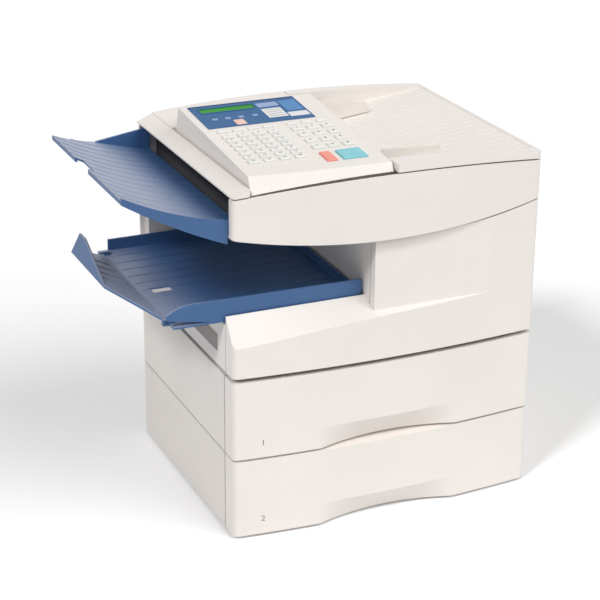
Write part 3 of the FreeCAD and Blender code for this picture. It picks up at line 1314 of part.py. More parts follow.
def key_rows():
    """Every key as its centre across, its centre along the slope, its width and its depth."""
    edge = float(panel_x[0])
    wide = float(size.key_width)
    pitch = float(size.key_across)
    columns = range(round(float(size.key_columns)))
    speed_x = [edge + float(size.key_left) + pitch * column for column in columns]
    columns = range(round(float(size.dial_columns)))
    dial_x = [edge + float(size.dial_left) + pitch * column for column in columns]
    speed = []
    for row in range(round(float(size.key_rows))):
        along = float(size.key_front) + float(size.key_along) * row
        speed += [(x, along, wide, float(size.key_depth)) for x in speed_x]
    dial = []
    for row in range(round(float(size.dial_rows))):
        along = float(size.dial_front) + float(size.dial_along) * row
        dial += [(x, along, wide, float(size.dial_depth)) for x in dial_x]
    menu = [(x, float(size.menu_front), wide, float(size.menu_depth)) for x in speed_x + dial_x]
    near = float(size.action_front)
    deep = float(size.action_depth)
    stop = [(dial_x[0], near, float(size.stop_wide), deep)]
    start = [(edge + float(size.start_left), near, float(size.start_wide), deep)]
    return {"speed_keys": speed, "dial_keys": dial, "function_keys": menu, "stop_key": stop,
            "start_key": start}


def key_shape(width, depth):
    """One key: a cap with bevelled top edges over a retaining lip."""
    rise = float(size.key_rise)
    under = float(size.panel_wall) + float(size.seat_gap)
    lip = float(size.key_lip)
    cap = Part.makeBox(width, depth, rise + under + lip, Vector(-width / 2, -depth / 2, -under - lip))
    top_edges = [edge for edge in cap.Edges if all(abs(v.Z - rise) < 1e-6 for v in edge.Vertexes)]
    cap = cap.makeChamfer(float(size.key_chamfer), top_edges)
    corner = Vector(-width / 2 - lip, -depth / 2 - lip, -under - lip)
    flange = Part.makeBox(width + 2 * lip, depth + 2 * lip, lip, corner)
    return cap.fuse(flange).removeSplitter()


def operation_panel():
    wall = size.panel_wall
    shell = cut("panel_shell", panel_hull("panel_outer", 0), panel_hull("panel_hollow", wall))
    high = rim_end + 20 * beyond
    over_seam = arch_region("panel_over_seam", seam_end + size.seam_gap, size.seam_rise, high)
    behind = block("panel_behind", (left * 2, right), (scan_near + size.shell + size.seam_gap, back),
                   (scan_low, high))
    kept = common("panel_kept", shell, fuse("panel_room", over_seam, behind))
    gap = float(size.key_gap)
    holes = []
    for keys in key_rows().values():
        for x, along, width, depth in keys:
            holes.append(on_panel(panel_box((x - width / 2 - gap, x + width / 2 + gap),
                                            (along - depth / 2 - gap, along + depth / 2 + gap),
                                            (-2 * beyond, 2 * beyond))))
    windows = solid_shape("panel_windows", Part.makeCompound(holes))
    notches = []
    gap = size.notch_gap
    for x_low in panel_lugs:
        notches.append(block("panel_notch", (x_low - gap, x_low + size.lug_thick + gap),
                             (axis_y - size.notch_room, back),
                             (panel_floor - beyond, axis_z + 2 * size.notch_room)))
    bore = rod("panel_bore", "X", (axis_y, axis_z), size.panel_pin + size.pin_gap, (left, table_x))
    posts = []
    under = key_depth_below()
    half = float(size.board_post) / 2
    inset = float(size.board_margin) + half
    for x in (float(panel_x[0]) + inset, float(panel_x[1]) - inset):
        for along in (float(size.board_front) + inset, float(size.board_back) - inset):
            posts.append(on_panel(panel_box((x - half, x + half), (along - half, along + half),
                                            (-under, half / 10 - float(wall)))))
    board_posts = solid_shape("panel_posts", Part.makeCompound(posts))
    piece("operation_panel", cut("panel", fuse("panel_solid", kept, board_posts), windows, bore, *notches))
    margin = float(size.board_margin)
    board = panel_box((float(panel_x[0]) + margin, float(panel_x[1]) - margin),
                      (size.board_front, size.board_back), (-under - float(size.board_thick), -under))
    piece("key_board", solid_shape("keys_board", on_panel(board)))
    reach = size.lug_inset + size.lug_thick
    for low, high in ((panel_right - reach, panel_right), (panel_x[0], panel_x[0] + reach)):
        hinge_pins.append(rod("panel_pin", "X", (axis_y, axis_z), size.panel_pin, (low, high)))


def key_depth_below():
    """Depth of the key board under the panel's top face."""
    return float(size.panel_wall + size.seat_gap + size.key_lip + size.key_travel + size.board_gap)


def panel_top():
    """Display overlay with its window, and the keys."""
    plate_x = float(panel_x[0]) + float(size.plate_left)
    screen_x = plate_x + float(size.screen_left)
    screen_y = float(size.plate_front) + float(size.screen_front)
    screen = ((screen_x, screen_x + float(size.screen_width)),
              (screen_y, screen_y + float(size.screen_depth)))
    plate = panel_box((plate_x, plate_x + float(size.plate_width)),
                      (size.plate_front, size.plate_front + size.plate_depth), (0, size.plate_thick))
    opening = panel_box(*screen, (-beyond, beyond))
    piece("display_plate", solid_shape("display", on_panel(plate.cut(opening))))
    fit = float(size.pin_gap)
    glass = panel_box(*[(low + fit, high - fit) for low, high in screen], (0, size.plate_thick * 0.75))
    piece("display_window", solid_shape("screen", on_panel(glass)))
    for word, keys in key_rows().items():
        shapes = []
        for x, along, width, depth in keys:
            key = key_shape(width, depth)
            key.translate(Vector(x, along, 0))
            shapes.append(on_panel(key))
        piece(word, solid_shape(word + "_caps", Part.makeCompound(shapes) if len(shapes) > 1 else shapes[0]))


cassettes()
engine_base()
frames()
front_cover()
left_cover()
right_cover()
rear_cover()
output_deck()
rollers()
drive()
engine_units()
fan()
rear_ports()
power_switch()
print_tray()
scanner_base()
scanner_front()
document_table()
left_top_cover()
document_guides()
document_path()
original_tray()
operation_panel()
panel_top()
piece("hinge_pins", group("all_hinge_pins", hinge_pins))

doc.recompute()
failed = [thing.Name for thing in doc.Objects if "Invalid" in thing.State or "Error" in thing.State]
for thing in pieces:
    if thing.Shape.isNull() or not thing.Shape.isValid() or not thing.Shape.Solids:
        failed.append(thing.Label)
if failed:
    raise RuntimeError("failed objects: " + ", ".join(failed))

os.makedirs("parts", exist_ok=True)
for thing in pieces:
    thing.Shape.exportStep(f"parts/{thing.Label}.step")
print(len(pieces), "sub-parts written")
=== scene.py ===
import json
import math

import bpy
from mathutils import Matrix, Vector


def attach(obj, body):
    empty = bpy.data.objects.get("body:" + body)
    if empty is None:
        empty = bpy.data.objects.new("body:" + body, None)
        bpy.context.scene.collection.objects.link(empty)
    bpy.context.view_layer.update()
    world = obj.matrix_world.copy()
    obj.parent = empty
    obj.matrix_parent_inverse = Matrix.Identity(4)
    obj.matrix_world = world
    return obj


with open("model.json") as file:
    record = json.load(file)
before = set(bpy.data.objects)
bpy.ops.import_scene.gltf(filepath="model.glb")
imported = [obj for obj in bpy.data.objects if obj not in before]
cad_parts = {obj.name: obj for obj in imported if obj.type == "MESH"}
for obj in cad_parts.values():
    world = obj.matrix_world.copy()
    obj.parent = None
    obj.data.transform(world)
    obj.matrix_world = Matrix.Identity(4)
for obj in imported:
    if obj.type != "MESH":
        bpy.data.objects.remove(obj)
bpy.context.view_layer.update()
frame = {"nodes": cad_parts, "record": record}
nodes = frame["nodes"]
mm = 0.001


# Shader maths: a socket that can be used in an expression.
class Wire:
    def __init__(self, tree, socket=None):
        self.tree = tree
        self.socket = socket

    def node(self, kind, settings=None, inputs=None, output=0):
        made = self.tree.nodes.new(kind)
        for key, value in (settings or {}).items():
            setattr(made, key, value)
        for key, value in (inputs or {}).items():
            if isinstance(value, Wire):
                self.tree.links.new(value.socket, made.inputs[key])
            else:
                made.inputs[key].default_value = value
        return Wire(self.tree, made.outputs[output]) if made.outputs else None

    def maths(self, operation, first, second=0.0):
        return self.node("ShaderNodeMath", {"operation": operation}, {0: first, 1: second})

    def __add__(self, other):
        return self.maths("ADD", self, other)

    __radd__ = __add__

    def __sub__(self, other):
        return self.maths("SUBTRACT", self, other)

    def __rsub__(self, other):
        return self.maths("SUBTRACT", other, self)

    def __mul__(self, other):
        return self.maths("MULTIPLY", self, other)

    __rmul__ = __mul__

    def __gt__(self, other):
        return self.maths("GREATER_THAN", self, other)

    def __lt__(self, other):
        return self.maths("LESS_THAN", self, other)

    def ease(self, low, high):
        settings = {"interpolation_type": "SMOOTHSTEP"}
        return self.node("ShaderNodeMapRange", settings, {0: self, 1: low, 2: high})


# From sRGB steps, 0 to 255, to Blender's linear colour.
def linear(red, green, blue):
    steps = [value / 255 for value in (red, green, blue)]
    return tuple(v / 12.92 if v <= 0.04045 else ((v + 0.055) / 1.055) ** 2.4 for v in steps)


# Inputs 6 and 7 and output 2 are the mix node's colour sockets.
def blendColour(wire, share, first, second):
    one = (*first, 1) if isinstance(first, tuple) else first
    two = (*second, 1) if isinstance(second, tuple) else second
    settings = {"data_type": "RGBA"}
    return wire.node("ShaderNodeMix", settings, {0: share, 6: one, 7: two}, 2)


def newFinish(name):
    material = bpy.data.materials.new(name)
    material.use_nodes = True
    material.node_tree.nodes.clear()
    return material, Wire(material.node_tree)


def place(wire):
    return wire.node("ShaderNodeTexCoord", None, None, "Object")


def axisOf(wire, axis):
    return wire.node("ShaderNodeSeparateXYZ", None, {0: place(wire)}, axis)


def noise(wire, scale, detail, stretch=(1, 1, 1)):
    spot = wire.node("ShaderNodeMapping", None, {0: place(wire), 3: stretch})
    return wire.node("ShaderNodeTexNoise", None, {0: spot, "Scale": scale, "Detail": detail})


def bumped(wire, look, height, normal=None):
    inputs = {"Height": height, "Strength": look["bump"], "Distance": look["bumpReach"]}
    if normal:
        inputs["Normal"] = normal
    return wire.node("ShaderNodeBump", None, inputs)


def closeFinish(wire, inputs, plain=None):
    surface = wire.node("ShaderNodeBsdfPrincipled", None, {**(plain or {}), **inputs})
    wire.node("ShaderNodeOutputMaterial", None, {0: surface})


# Moulded plastics: a little cloudy in colour, finely grained, some softly rounded at their edges.
# Dust and sheen: a paler film on faces that look up, partly dust and partly painted sheen of light from
# above.
# # It is full at the trays' outer ends and fades towards the body; that fade is painted shade.
def mouldedPlastic(name, look):
    material, wire = newFinish(name)
    cloud = noise(wire, look["cloud"], look["cloudDetail"])
    colour = blendColour(wire, cloud, linear(*look["deep"]), linear(*look["pale"]))
    # Painted light: the pale film is partly dust and partly painted sheen on up-facing faces.
    if "dustSheenColour" in look:
        rounded = wire.node("ShaderNodeBevel", {"samples": look["dustSheenSamples"]}, {0: look["dustSheenEdge"]})
        turned = wire.node("ShaderNodeVectorTransform", {
            "vector_type": "NORMAL", "convert_from": "WORLD", "convert_to": "OBJECT"}, {0: rounded})
        facing = wire.node("ShaderNodeSeparateXYZ", None, {0: turned}, "Z")
        dustSheenUp = facing.ease(look["dustSheenFrom"], look["dustSheenTo"])
        # No film near the body: painted shade where the body shades the trays.
        outward = 1 - axisOf(wire, "X").ease(look["paintedShadeOuter"], look["paintedShadeInner"])
        dustSheenShare = dustSheenUp * outward * (cloud * look["dustSheenSpread"] + look["dustSheenLeast"])
        colour = blendColour(wire, dustSheenShare, colour, linear(*look["dustSheenColour"]))
    grain = noise(wire, look["grain"], look["grainDetail"])
    rough = grain * look["roughSpread"] + (look["rough"] - look["roughSpread"] / 2)
    edge = None
    if "edge" in look:
        edge = wire.node("ShaderNodeBevel", {"samples": look["edgeSamples"]}, {0: look["edge"]})
    inputs = {"Base Color": colour, "Roughness": rough, "Normal": bumped(wire, look, grain, edge)}
    closeFinish(wire, inputs, {"IOR": look["ior"]})
    return material


plasticLook = {"cloudDetail": 3.0, "grainDetail": 2.0, "bumpReach": 0.0002, "edgeSamples": 6, "ior": 1.45}
ivoryLook = {**plasticLook, "deep": (232, 226, 220), "pale": (242, 236, 231), "cloud": 9.0, "grain": 1300.0,
             "bump": 0.22, "rough": 0.5, "roughSpread": 0.16, "edge": 0.0011}
guideLook = {**ivoryLook, "deep": (228, 222, 216), "pale": (240, 234, 228)}
housingLook = {**ivoryLook, "deep": (227, 221, 215), "pale": (238, 232, 227)}
# Tray colours: the pale film on up-facing faces is partly dust, partly painted sheen. Its fade towards the
# body is painted shade.
trayLook = {**plasticLook, "deep": (54, 90, 138), "pale": (70, 106, 152), "cloud": 7.0, "grain": 900.0,
            "bump": 0.25, "rough": 0.42, "roughSpread": 0.18, "edge": 0.0007, "dustSheenColour": (166, 173, 194),
            "dustSheenFrom": 0.35, "dustSheenTo": 0.95, "dustSheenEdge": 0.0025, "dustSheenSamples": 8, "paintedShadeOuter": -0.3,
            "paintedShadeInner": -0.195, "dustSheenSpread": 0.3, "dustSheenLeast": 0.75}
innerLook = {**plasticLook, "deep": (30, 30, 32), "pale": (46, 46, 49), "cloud": 24.0, "grain": 1100.0,
             "bump": 0.3, "rough": 0.62, "roughSpread": 0.2}
# Length guides: a bluer pale film, partly dust and partly painted sheen. It fades towards the body as painted
# shade.
lengthLook = {**trayLook, "dustSheenColour": (92, 120, 172)}
keyLook = {**plasticLook, "deep": (226, 226, 222), "pale": (240, 240, 236), "cloud": 60.0, "grain": 1800.0,
           "bump": 0.12, "rough": 0.38, "roughSpread": 0.12, "edge": 0.0005}
stopLook = {**keyLook, "deep": (236, 138, 122), "pale": (248, 158, 142)}
startLook = {**keyLook, "deep": (116, 192, 204), "pale": (140, 210, 220)}
plateLook = {**plasticLook, "deep": (50, 92, 138), "pale": (64, 108, 154), "cloud": 30.0, "grain": 2200.0,
             "bump": 0.05, "rough": 0.5, "roughSpread": 0.1, "ior": 1.25}
# Dark navy of the strip along the plate's rear edge: a painted shadow of the recessed edge.
shadowStripLook = {**plateLook, "deep": (34, 60, 98), "pale": (44, 72, 112)}
fieldLook = {**plateLook, "deep": (80, 130, 184), "pale": (96, 146, 198)}
headingLook = {**plateLook, "deep": (140, 160, 196), "pale": (162, 180, 212)}
markLook = {**plasticLook, "deep": (86, 84, 78), "pale": (108, 105, 98), "cloud": 200.0, "grain": 2000.0,
            "bump": 0.02, "rough": 0.55, "roughSpread": 0.1}
cardLook = {**plasticLook, "deep": (218, 220, 222), "pale": (238, 238, 238), "cloud": 90.0, "grain": 2000.0,
            "bump": 0.03, "rough": 0.55, "roughSpread": 0.1}
pinkLook = {**cardLook, "deep": (238, 184, 164), "pale": (244, 216, 210)}
ruleLook = {**cardLook, "deep": (158, 152, 142), "pale": (184, 176, 164)}

ivoryPlastic = mouldedPlastic("ivoryPlastic", ivoryLook)
housingPlastic = mouldedPlastic("housingPlastic", housingLook)
guidePlastic = mouldedPlastic("guidePlastic", guideLook)
trayPlastic = mouldedPlastic("trayPlastic", trayLook)
innerPlastic = mouldedPlastic("innerPlastic", innerLook)
lengthPlastic = mouldedPlastic("lengthPlastic", lengthLook)
keyPlastic = mouldedPlastic("keyPlastic", keyLook)
stopPlastic = mouldedPlastic("stopPlastic", stopLook)
startPlastic = mouldedPlastic("startPlastic", startLook)
plateOverlay = mouldedPlastic("plateOverlay", plateLook)
markInk = mouldedPlastic("markInk", markLook)
# Material of the painted shadow strip at the display plate's rear edge.
paintedShadowOverlay = mouldedPlastic("paintedShadowOverlay", shadowStripLook)
fieldOverlay = mouldedPlastic("fieldOverlay", fieldLook)
headingOverlay = mouldedPlastic("headingOverlay", headingLook)
cardOverlay = mouldedPlastic("cardOverlay", cardLook)
pinkOverlay = mouldedPlastic("pinkOverlay", pinkLook)
ruleOverlay = mouldedPlastic("ruleOverlay", ruleLook)
print("plastics made")


# Metals: fine lines along one direction and small blotches.
def drawnMetal(name, look):
    material, wire = newFinish(name)
    lines = noise(wire, look["lines"], look["lineDetail"], look["stretch"])
    blotch = noise(wire, look["blotch"], look["blotchDetail"])
    colour = blendColour(wire, blotch, linear(*look["deep"]), linear(*look["pale"]))
    rough = lines * look["roughSpread"] + look["rough"]
    inputs = {"Base Color": colour, "Roughness": rough, "Normal": bumped(wire, look, lines)}
    closeFinish(wire, inputs, {"Metallic": 1.0})
    return material


sheetLook = {"deep": (176, 180, 182), "pale": (204, 207, 208), "lines": 240.0, "lineDetail": 2.0,
             "blotch": 60.0, "blotchDetail": 4.0, "stretch": (1, 8, 1), "rough": 0.3, "roughSpread": 0.15,
             "bump": 0.15, "bumpReach": 0.0001}
brightLook = {**sheetLook, "deep": (196, 197, 198), "pale": (222, 222, 222), "lines": 500.0, "rough": 0.2}
sheetSteel = drawnMetal("sheetSteel", sheetLook)
brightSteel = drawnMetal("brightSteel", brightLook)


# Rollers: a sleeve between the frames, a bare steel shaft and, at the rear, a nylon gear.
def rollerFinish(name, look):
    material, wire = newFinish(name)
    y = axisOf(wire, "Y")
    grain = noise(wire, look["grain"], look["grainDetail"])
    sleeve = blendColour(wire, grain, linear(*look["deep"]), linear(*look["pale"]))
    shaft = blendColour(wire, grain, linear(*look["shaftDeep"]), linear(*look["shaftPale"]))
    gear = blendColour(wire, grain, linear(*look["gearDeep"]), linear(*look["gearPale"]))
    bare = (y > look["sleeveTo"]) + (y < look["sleeveFrom"])
    toothed = y > look["gearFrom"]
    colour = blendColour(wire, toothed, blendColour(wire, bare, sleeve, shaft), gear)
    steel = bare * (1 - toothed)
    rough = grain * look["roughSpread"] + steel * (look["shaftRough"] - look["rough"]) + look["rough"]
    normal = bumped(wire, look, grain)
    closeFinish(wire, {"Base Color": colour, "Metallic": steel, "Roughness": rough, "Normal": normal})
    return material


rollerLook = {"sleeveFrom": -0.1142, "sleeveTo": 0.1122, "shaftDeep": (172, 174, 176),
              "shaftPale": (206, 207, 208), "shaftRough": 0.25, "gearDeep": (214, 212, 204),
              "gearPale": (230, 228, 220), "roughSpread": 0.12, "grainDetail": 3.0, "bumpReach": 0.0002}
rubberLook = {**rollerLook, "deep": (44, 44, 45), "pale": (62, 62, 63), "grain": 800.0, "rough": 0.75,
              "bump": 0.3, "gearFrom": 1.0}  # far beyond the shaft's end, so no gear is coloured
drumLook = {**rollerLook, "deep": (64, 150, 140), "pale": (86, 176, 164), "grain": 40.0, "rough": 0.12,
            "bump": 0.02, "gearFrom": 0.1295}
heatLook = {**drumLook, "deep": (108, 92, 84), "pale": (134, 116, 106), "rough": 0.2}
rollerRubber = rollerFinish("rollerRubber", rubberLook)
drumCoating = rollerFinish("drumCoating", drumLook)
heatCoating = rollerFinish("heatCoating", heatLook)


# Circuit boards: green resist with paler copper runs under it.
def boardFinish(name, look):
    material, wire = newFinish(name)
    spot = place(wire)
    black, white = (0, 0, 0, 1), (1, 1, 1, 1)
    bricks = {0: spot, "Color1": black, "Color2": black, "Mortar": white, "Scale": look["runs"],
              "Mortar Size": look["runWide"], "Brick Width": look["runLong"],
              "Row Height": look["runPitch"]}
    runs = wire.node("ShaderNodeTexBrick", {"offset": look["runOffset"]}, bricks, "Fac")
    pads = wire.node("ShaderNodeTexVoronoi", None, {0: spot, "Scale": look["pads"]}) < look["padSize"]
    resist = blendColour(wire, runs, linear(*look["deep"]), linear(*look["pale"]))
    colour = blendColour(wire, pads, resist, linear(*look["solder"]))
    rough = look["rough"] - pads * look["padPolish"]
    inputs = {"Base Color": colour, "Roughness": rough, "Normal": bumped(wire, look, runs + pads)}
    closeFinish(wire, inputs)
    return material


boardLook = {"deep": (22, 92, 52), "pale": (38, 120, 70), "solder": (188, 190, 186), "runs": 60.0,
             "runOffset": 0.37, "runWide": 0.03, "runLong": 0.9, "runPitch": 0.12, "pads": 160.0,
             "padSize": 0.16, "rough": 0.4, "padPolish": 0.15, "bump": 0.3, "bumpReach": 0.0001}
boardGreen = boardFinish("boardGreen", boardLook)


# Display: green glass over a faint raster.
def displayFinish(name, look):
    material, wire = newFinish(name)
    waves = {0: place(wire), "Scale": look["raster"]}
    raster = wire.node("ShaderNodeTexWave", {"bands_direction": "X"}, waves, "Fac")
    cloud = noise(wire, look["cloud"], look["cloudDetail"])
    ground = blendColour(wire, cloud, linear(*look["deep"]), linear(*look["pale"]))
    colour = blendColour(wire, raster * look["lineShare"], ground, linear(*look["line"]))
    rough = cloud * look["roughSpread"] + look["rough"]
    closeFinish(wire, {"Base Color": colour, "Roughness": rough}, {"IOR": look["ior"]})
    return material


displayLook = {"deep": (34, 132, 24), "pale": (54, 156, 40), "line": (16, 84, 12), "lineShare": 0.14,
               "raster": 160.0, "cloud": 34.0, "cloudDetail": 2.0, "rough": 0.35, "roughSpread": 0.1,
               "ior": 1.25}
displayGreen = displayFinish("displayGreen", displayLook)
print("metals, rollers, boards and display made")

finishes = {
    "body_plastic": ivoryPlastic, "guide_plastic": guidePlastic, "inner_plastic": innerPlastic,
    "guide_blue": lengthPlastic, "tray_blue": trayPlastic, "sheet_steel": sheetSteel,
    "bright_steel": brightSteel, "roller_rubber": rollerRubber, "drum_coating": drumCoating,
    "heat_coating": heatCoating, "circuit_board": boardGreen, "display_blue": plateOverlay,
    "display_green": displayGreen, "key_white": keyPlastic, "key_stop": stopPlastic,
    "key_start": startPlastic,
}
for subpart in frame["record"]["subparts"]:
    surface = finishes[subpart["material_slot"]]
    if subpart["node"].endswith("unit_housing"):
        surface = housingPlastic
    shown = nodes[subpart["node"]]
    shown.data.materials.clear()
    shown.data.materials.append(surface)
print("finishes set on", len(nodes), "nodes")


# Modelling helpers
smoothAngle = math.radians(35)
letterSteps = 3
levelLimit = 0.9


def inMetres(values):
    return [value * mm for value in values]


def letGo():
    bpy.ops.object.select_all(action="DESELECT")


def settle(piece):
    letGo()
    piece.select_set(True)
    bpy.context.view_layer.objects.active = piece
    bpy.ops.object.transform_apply(location=True, rotation=True, scale=True)


def boxAt(name, centre, size):
    letGo()
    bpy.ops.mesh.primitive_cube_add(size=1, location=centre, scale=size)
    piece = bpy.context.active_object
    piece.name = name
    settle(piece)
    return piece


def pick(piece, kind, items, wanted):
    bpy.ops.object.mode_set(mode="EDIT")
    bpy.ops.mesh.select_mode(type=kind)
    bpy.ops.mesh.select_all(action="DESELECT")
    bpy.ops.object.mode_set(mode="OBJECT")
    for item in items:
        item.select = wanted(item)
    bpy.ops.object.mode_set(mode="EDIT")


def softenEdges(piece, look):
    bevel = piece.modifiers.new("softEdges", "BEVEL")
    bevel.width = look["soft"] * mm
    bevel.segments = look["softSteps"]
    bevel.limit_method = "ANGLE"
    bpy.context.view_layer.objects.active = piece
    bpy.ops.object.modifier_apply(modifier=bevel.name)


def copyAt(piece, name, shift):
    twin = piece.copy()
    twin.data = piece.data.copy()
    twin.name = name
    bpy.context.scene.collection.objects.link(twin)
    twin.location = shift
    settle(twin)
    return twin


def joinAll(name, items):
    letGo()
    for item in items:
        item.select_set(True)
    bpy.context.view_layer.objects.active = items[0]
    bpy.ops.object.join()
    items[0].name = name
    items[0].data.name = name
    return items[0]


def dress(piece, surface, body):
    piece.data.materials.clear()
    piece.data.materials.append(surface)
    letGo()
    piece.select_set(True)
    bpy.context.view_layer.objects.active = piece
    bpy.ops.object.shade_smooth_by_angle(angle=smoothAngle)
    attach(piece, body)


def lettering(name, words, height, depth):
    letGo()
    bpy.ops.object.text_add()
    piece = bpy.context.active_object
    piece.name = name
    piece.data.body = words
    piece.data.size = height
    piece.data.extrude = depth / 2
    piece.data.align_x = "CENTER"
    piece.data.align_y = "CENTER"
    piece.data.resolution_u = letterSteps
    bpy.ops.object.convert(target="MESH")
    return bpy.context.active_object


# Panel frame: across, along the slope and up from the panel's top face.
panelTop = {"front": -158 * mm, "height": 478 * mm, "tilt": 5.0}
panelFrame = (Matrix.Translation((0, panelTop["front"], panelTop["height"]))
              @ Matrix.Rotation(math.radians(panelTop["tilt"]), 4, "X"))


def ontoPanel(piece):
    piece.matrix_world = panelFrame @ piece.matrix_world
    settle(piece)
    return piece


def plateBox(name, look):
    size = (look["right"] - look["left"], look["far"] - look["near"], look["thick"])
    centre = ((look["left"] + look["right"]) / 2, (look["near"] + look["far"]) / 2,
              look["low"] + look["thick"] / 2)
    return boxAt(name, inMetres(centre), inMetres(size))


# Display window's raised frame
screenTrim = {"left": -167.5, "right": -90.5, "near": 200.5, "far": 217.5, "low": 1.2, "thick": 0.6,
              "rim": 1.5, "soft": 0.2, "softSteps": 2}


def buildScreenTrim(look):
    piece = plateBox("screenTrim", look)
    pick(piece, "FACE", piece.data.polygons, lambda face: abs(face.normal.z) > levelLimit)
    bpy.ops.mesh.inset(thickness=look["rim"] * mm)
    bpy.ops.mesh.bridge_edge_loops()
    bpy.ops.object.mode_set(mode="OBJECT")
    softenEdges(piece, look)
    dress(ontoPanel(piece), plateOverlay, "panel")


buildScreenTrim(screenTrim)

# Printed fields on the display plate, thin overlays with rounded corners; the dark rear strip is a painted
# shadow
printedField = {"low": 1.2, "thick": 0.2, "corner": 1.0, "cornerSteps": 4}
# The rear strip is a dark strip of painted shadow along the display plate's rear edge.
rearPaintedShadow = {**printedField, "left": -175.7, "right": -30.3, "near": 223.8, "far": 227.7, "corner": 0.6,
              "low": 1.02}  # sunk, so that it stays under the plate's rear edge
headingField = {**printedField, "left": -88, "right": -59.5, "near": 201.5, "far": 215.5}
blueField = {**printedField, "left": -56, "right": -33.5, "near": 180.5, "far": 216.5}
whiteStrip = {**printedField, "left": -59.5, "right": -32.5, "near": 161, "far": 175.5}
pinkCard = {**printedField, "left": -136, "right": -122.5, "near": 154, "far": 170.5}
listCard = {**printedField, "left": -88, "right": -61.5, "near": 164, "far": 195, "lines": 4,
            "lineWide": 21, "lineDeep": 1.6, "lineRise": 1.2, "inset": 5.5, "soft": 0.05, "softSteps": 1}
statusLabels = {**printedField, "places": (-157, -139.5, -121.3, -102.2), "wide": 7, "near": 176,
                "far": 181.5, "corner": 0.5}


def fieldBox(name, look):
    piece = plateBox(name, look)

    def upright(edge):
        ends = [piece.data.vertices[v].co.z for v in edge.vertices]
        return abs(ends[0] - ends[1]) > look["thick"] * mm / 2

    pick(piece, "EDGE", piece.data.edges, upright)
    bpy.ops.mesh.bevel(offset=look["corner"] * mm, segments=look["cornerSteps"], affect="EDGES")
    bpy.ops.object.mode_set(mode="OBJECT")
    return piece


def buildField(name, look, surface):
    dress(ontoPanel(fieldBox(name, look)), surface, "panel")


def buildStatusLabels(look):
    labels = []
    half = look["wide"] / 2
    for x in look["places"]:
        labels.append(fieldBox("statusLabel", {**look, "left": x - half, "right": x + half}))
    dress(ontoPanel(joinAll("statusLabels", labels)), headingOverlay, "panel")


def buildCardLines(look):
    first = boxAt("cardLine", (0, 0, 0), inMetres((look["lineWide"], look["lineDeep"], look["thick"])))
    softenEdges(first, look)
    middle = (look["left"] + look["right"]) / 2
    run = (look["far"] - look["near"] - 2 * look["inset"]) / (look["lines"] - 1)
    rows = []
    for row in range(look["lines"]):
        along = look["near"] + look["inset"] + run * row
        spot = (middle, along, look["low"] + look["thick"] * look["lineRise"])
        rows.append(copyAt(first, "cardLine", inMetres(spot)))
    bpy.data.objects.remove(first)
    dress(ontoPanel(joinAll("listCardLines", rows)), ruleOverlay, "panel")


for name, look, surface in (("rearPaintedShadow", rearPaintedShadow, paintedShadowOverlay),
                            ("headingField", headingField, headingOverlay),
                            ("blueField", blueField, fieldOverlay), ("whiteStrip", whiteStrip, cardOverlay),
                            ("pinkCard", pinkCard, pinkOverlay), ("listCard", listCard, cardOverlay)):
    buildField(name, look, surface)
buildStatusLabels(statusLabels)
buildCardLines(listCard)
print("display plate dressed")

# Keys: numbers on the dial and speed keys and short printed marks behind the speed keys
dialPad = {"left": -69.5, "across": 20.4, "near": 58, "along": 21, "top": 2.4, "height": 7.0, "thick": 0.12,
           "rows": ("*0#", "789", "456", "123")}
speedPad = {"left": -163, "across": 20.4, "near": 37, "along": 14, "columns": 4, "rows": 7, "top": 2.4,
            "height": 4.6, "thick": 0.12}
keyMarks = {"tall": 1.3, "thick": 0.1, "soft": 0.03, "softSteps": 1, "wides": (3.4, 2.2, 4.2), "gap": 1.0,
            "behind": 5.6}


def buildKeyNumbers(name, look, rows, body):
    items = []
    for row, words in enumerate(rows):
        for column, word in enumerate(words):
            item = lettering("keyNumber", word, look["height"] * mm, look["thick"] * mm)
            spot = (look["left"] + look["across"] * column, look["near"] + look["along"] * row,
                    look["top"] + look["thick"] / 2)
            item.location = inMetres(spot)
            settle(item)
            items.append(item)
    dress(ontoPanel(joinAll(name, items)), markInk, body)


def buildKeyMarks(keys, look):
    start = boxAt("keyMark", (0, 0, 0), inMetres((1, look["tall"], look["thick"])))
    softenEdges(start, look)
    items = []
    total = sum(look["wides"]) + look["gap"] * (len(look["wides"]) - 1)
    for row in range(keys["rows"]):
        for column in range(keys["columns"]):
            x = keys["left"] + keys["across"] * column - total / 2
            y = keys["near"] + keys["along"] * row + look["behind"]
            turn = (row + 2 * column) % len(look["wides"])  # another order of bars from key to key
            for wide in look["wides"][turn:] + look["wides"][:turn]:
                item = copyAt(start, "keyMark", (0, 0, 0))
                item.scale = (wide, 1, 1)
                item.location = inMetres((x + wide / 2, y, look["thick"] / 2))
                settle(item)
                items.append(item)
                x += wide + look["gap"]
    bpy.data.objects.remove(start)
    dress(ontoPanel(joinAll("speedKeyMarks", items)), markInk, "panel")


speedNumbers = [[str((speedPad["rows"] - 1 - row) * speedPad["columns"] + column + 1)
                 for column in range(speedPad["columns"])] for row in range(speedPad["rows"])]
buildKeyNumbers("dialNumbers", dialPad, dialPad["rows"], "dial_keys")
buildKeyNumbers("speedNumbers", speedPad, speedNumbers, "speed_keys")
buildKeyMarks(speedPad, keyMarks)
print("keys marked")

# Drawer numbers, lying on the bowed fronts
drawerMarks = {"lower": {"number": "2", "height": 25.4}, "upper": {"number": "1", "height": 132.5},
               "across": -172, "letter": 11, "thick": 0.5, "sunk": 0.2, "bow": 12, "half": 210,
               "front": -170}


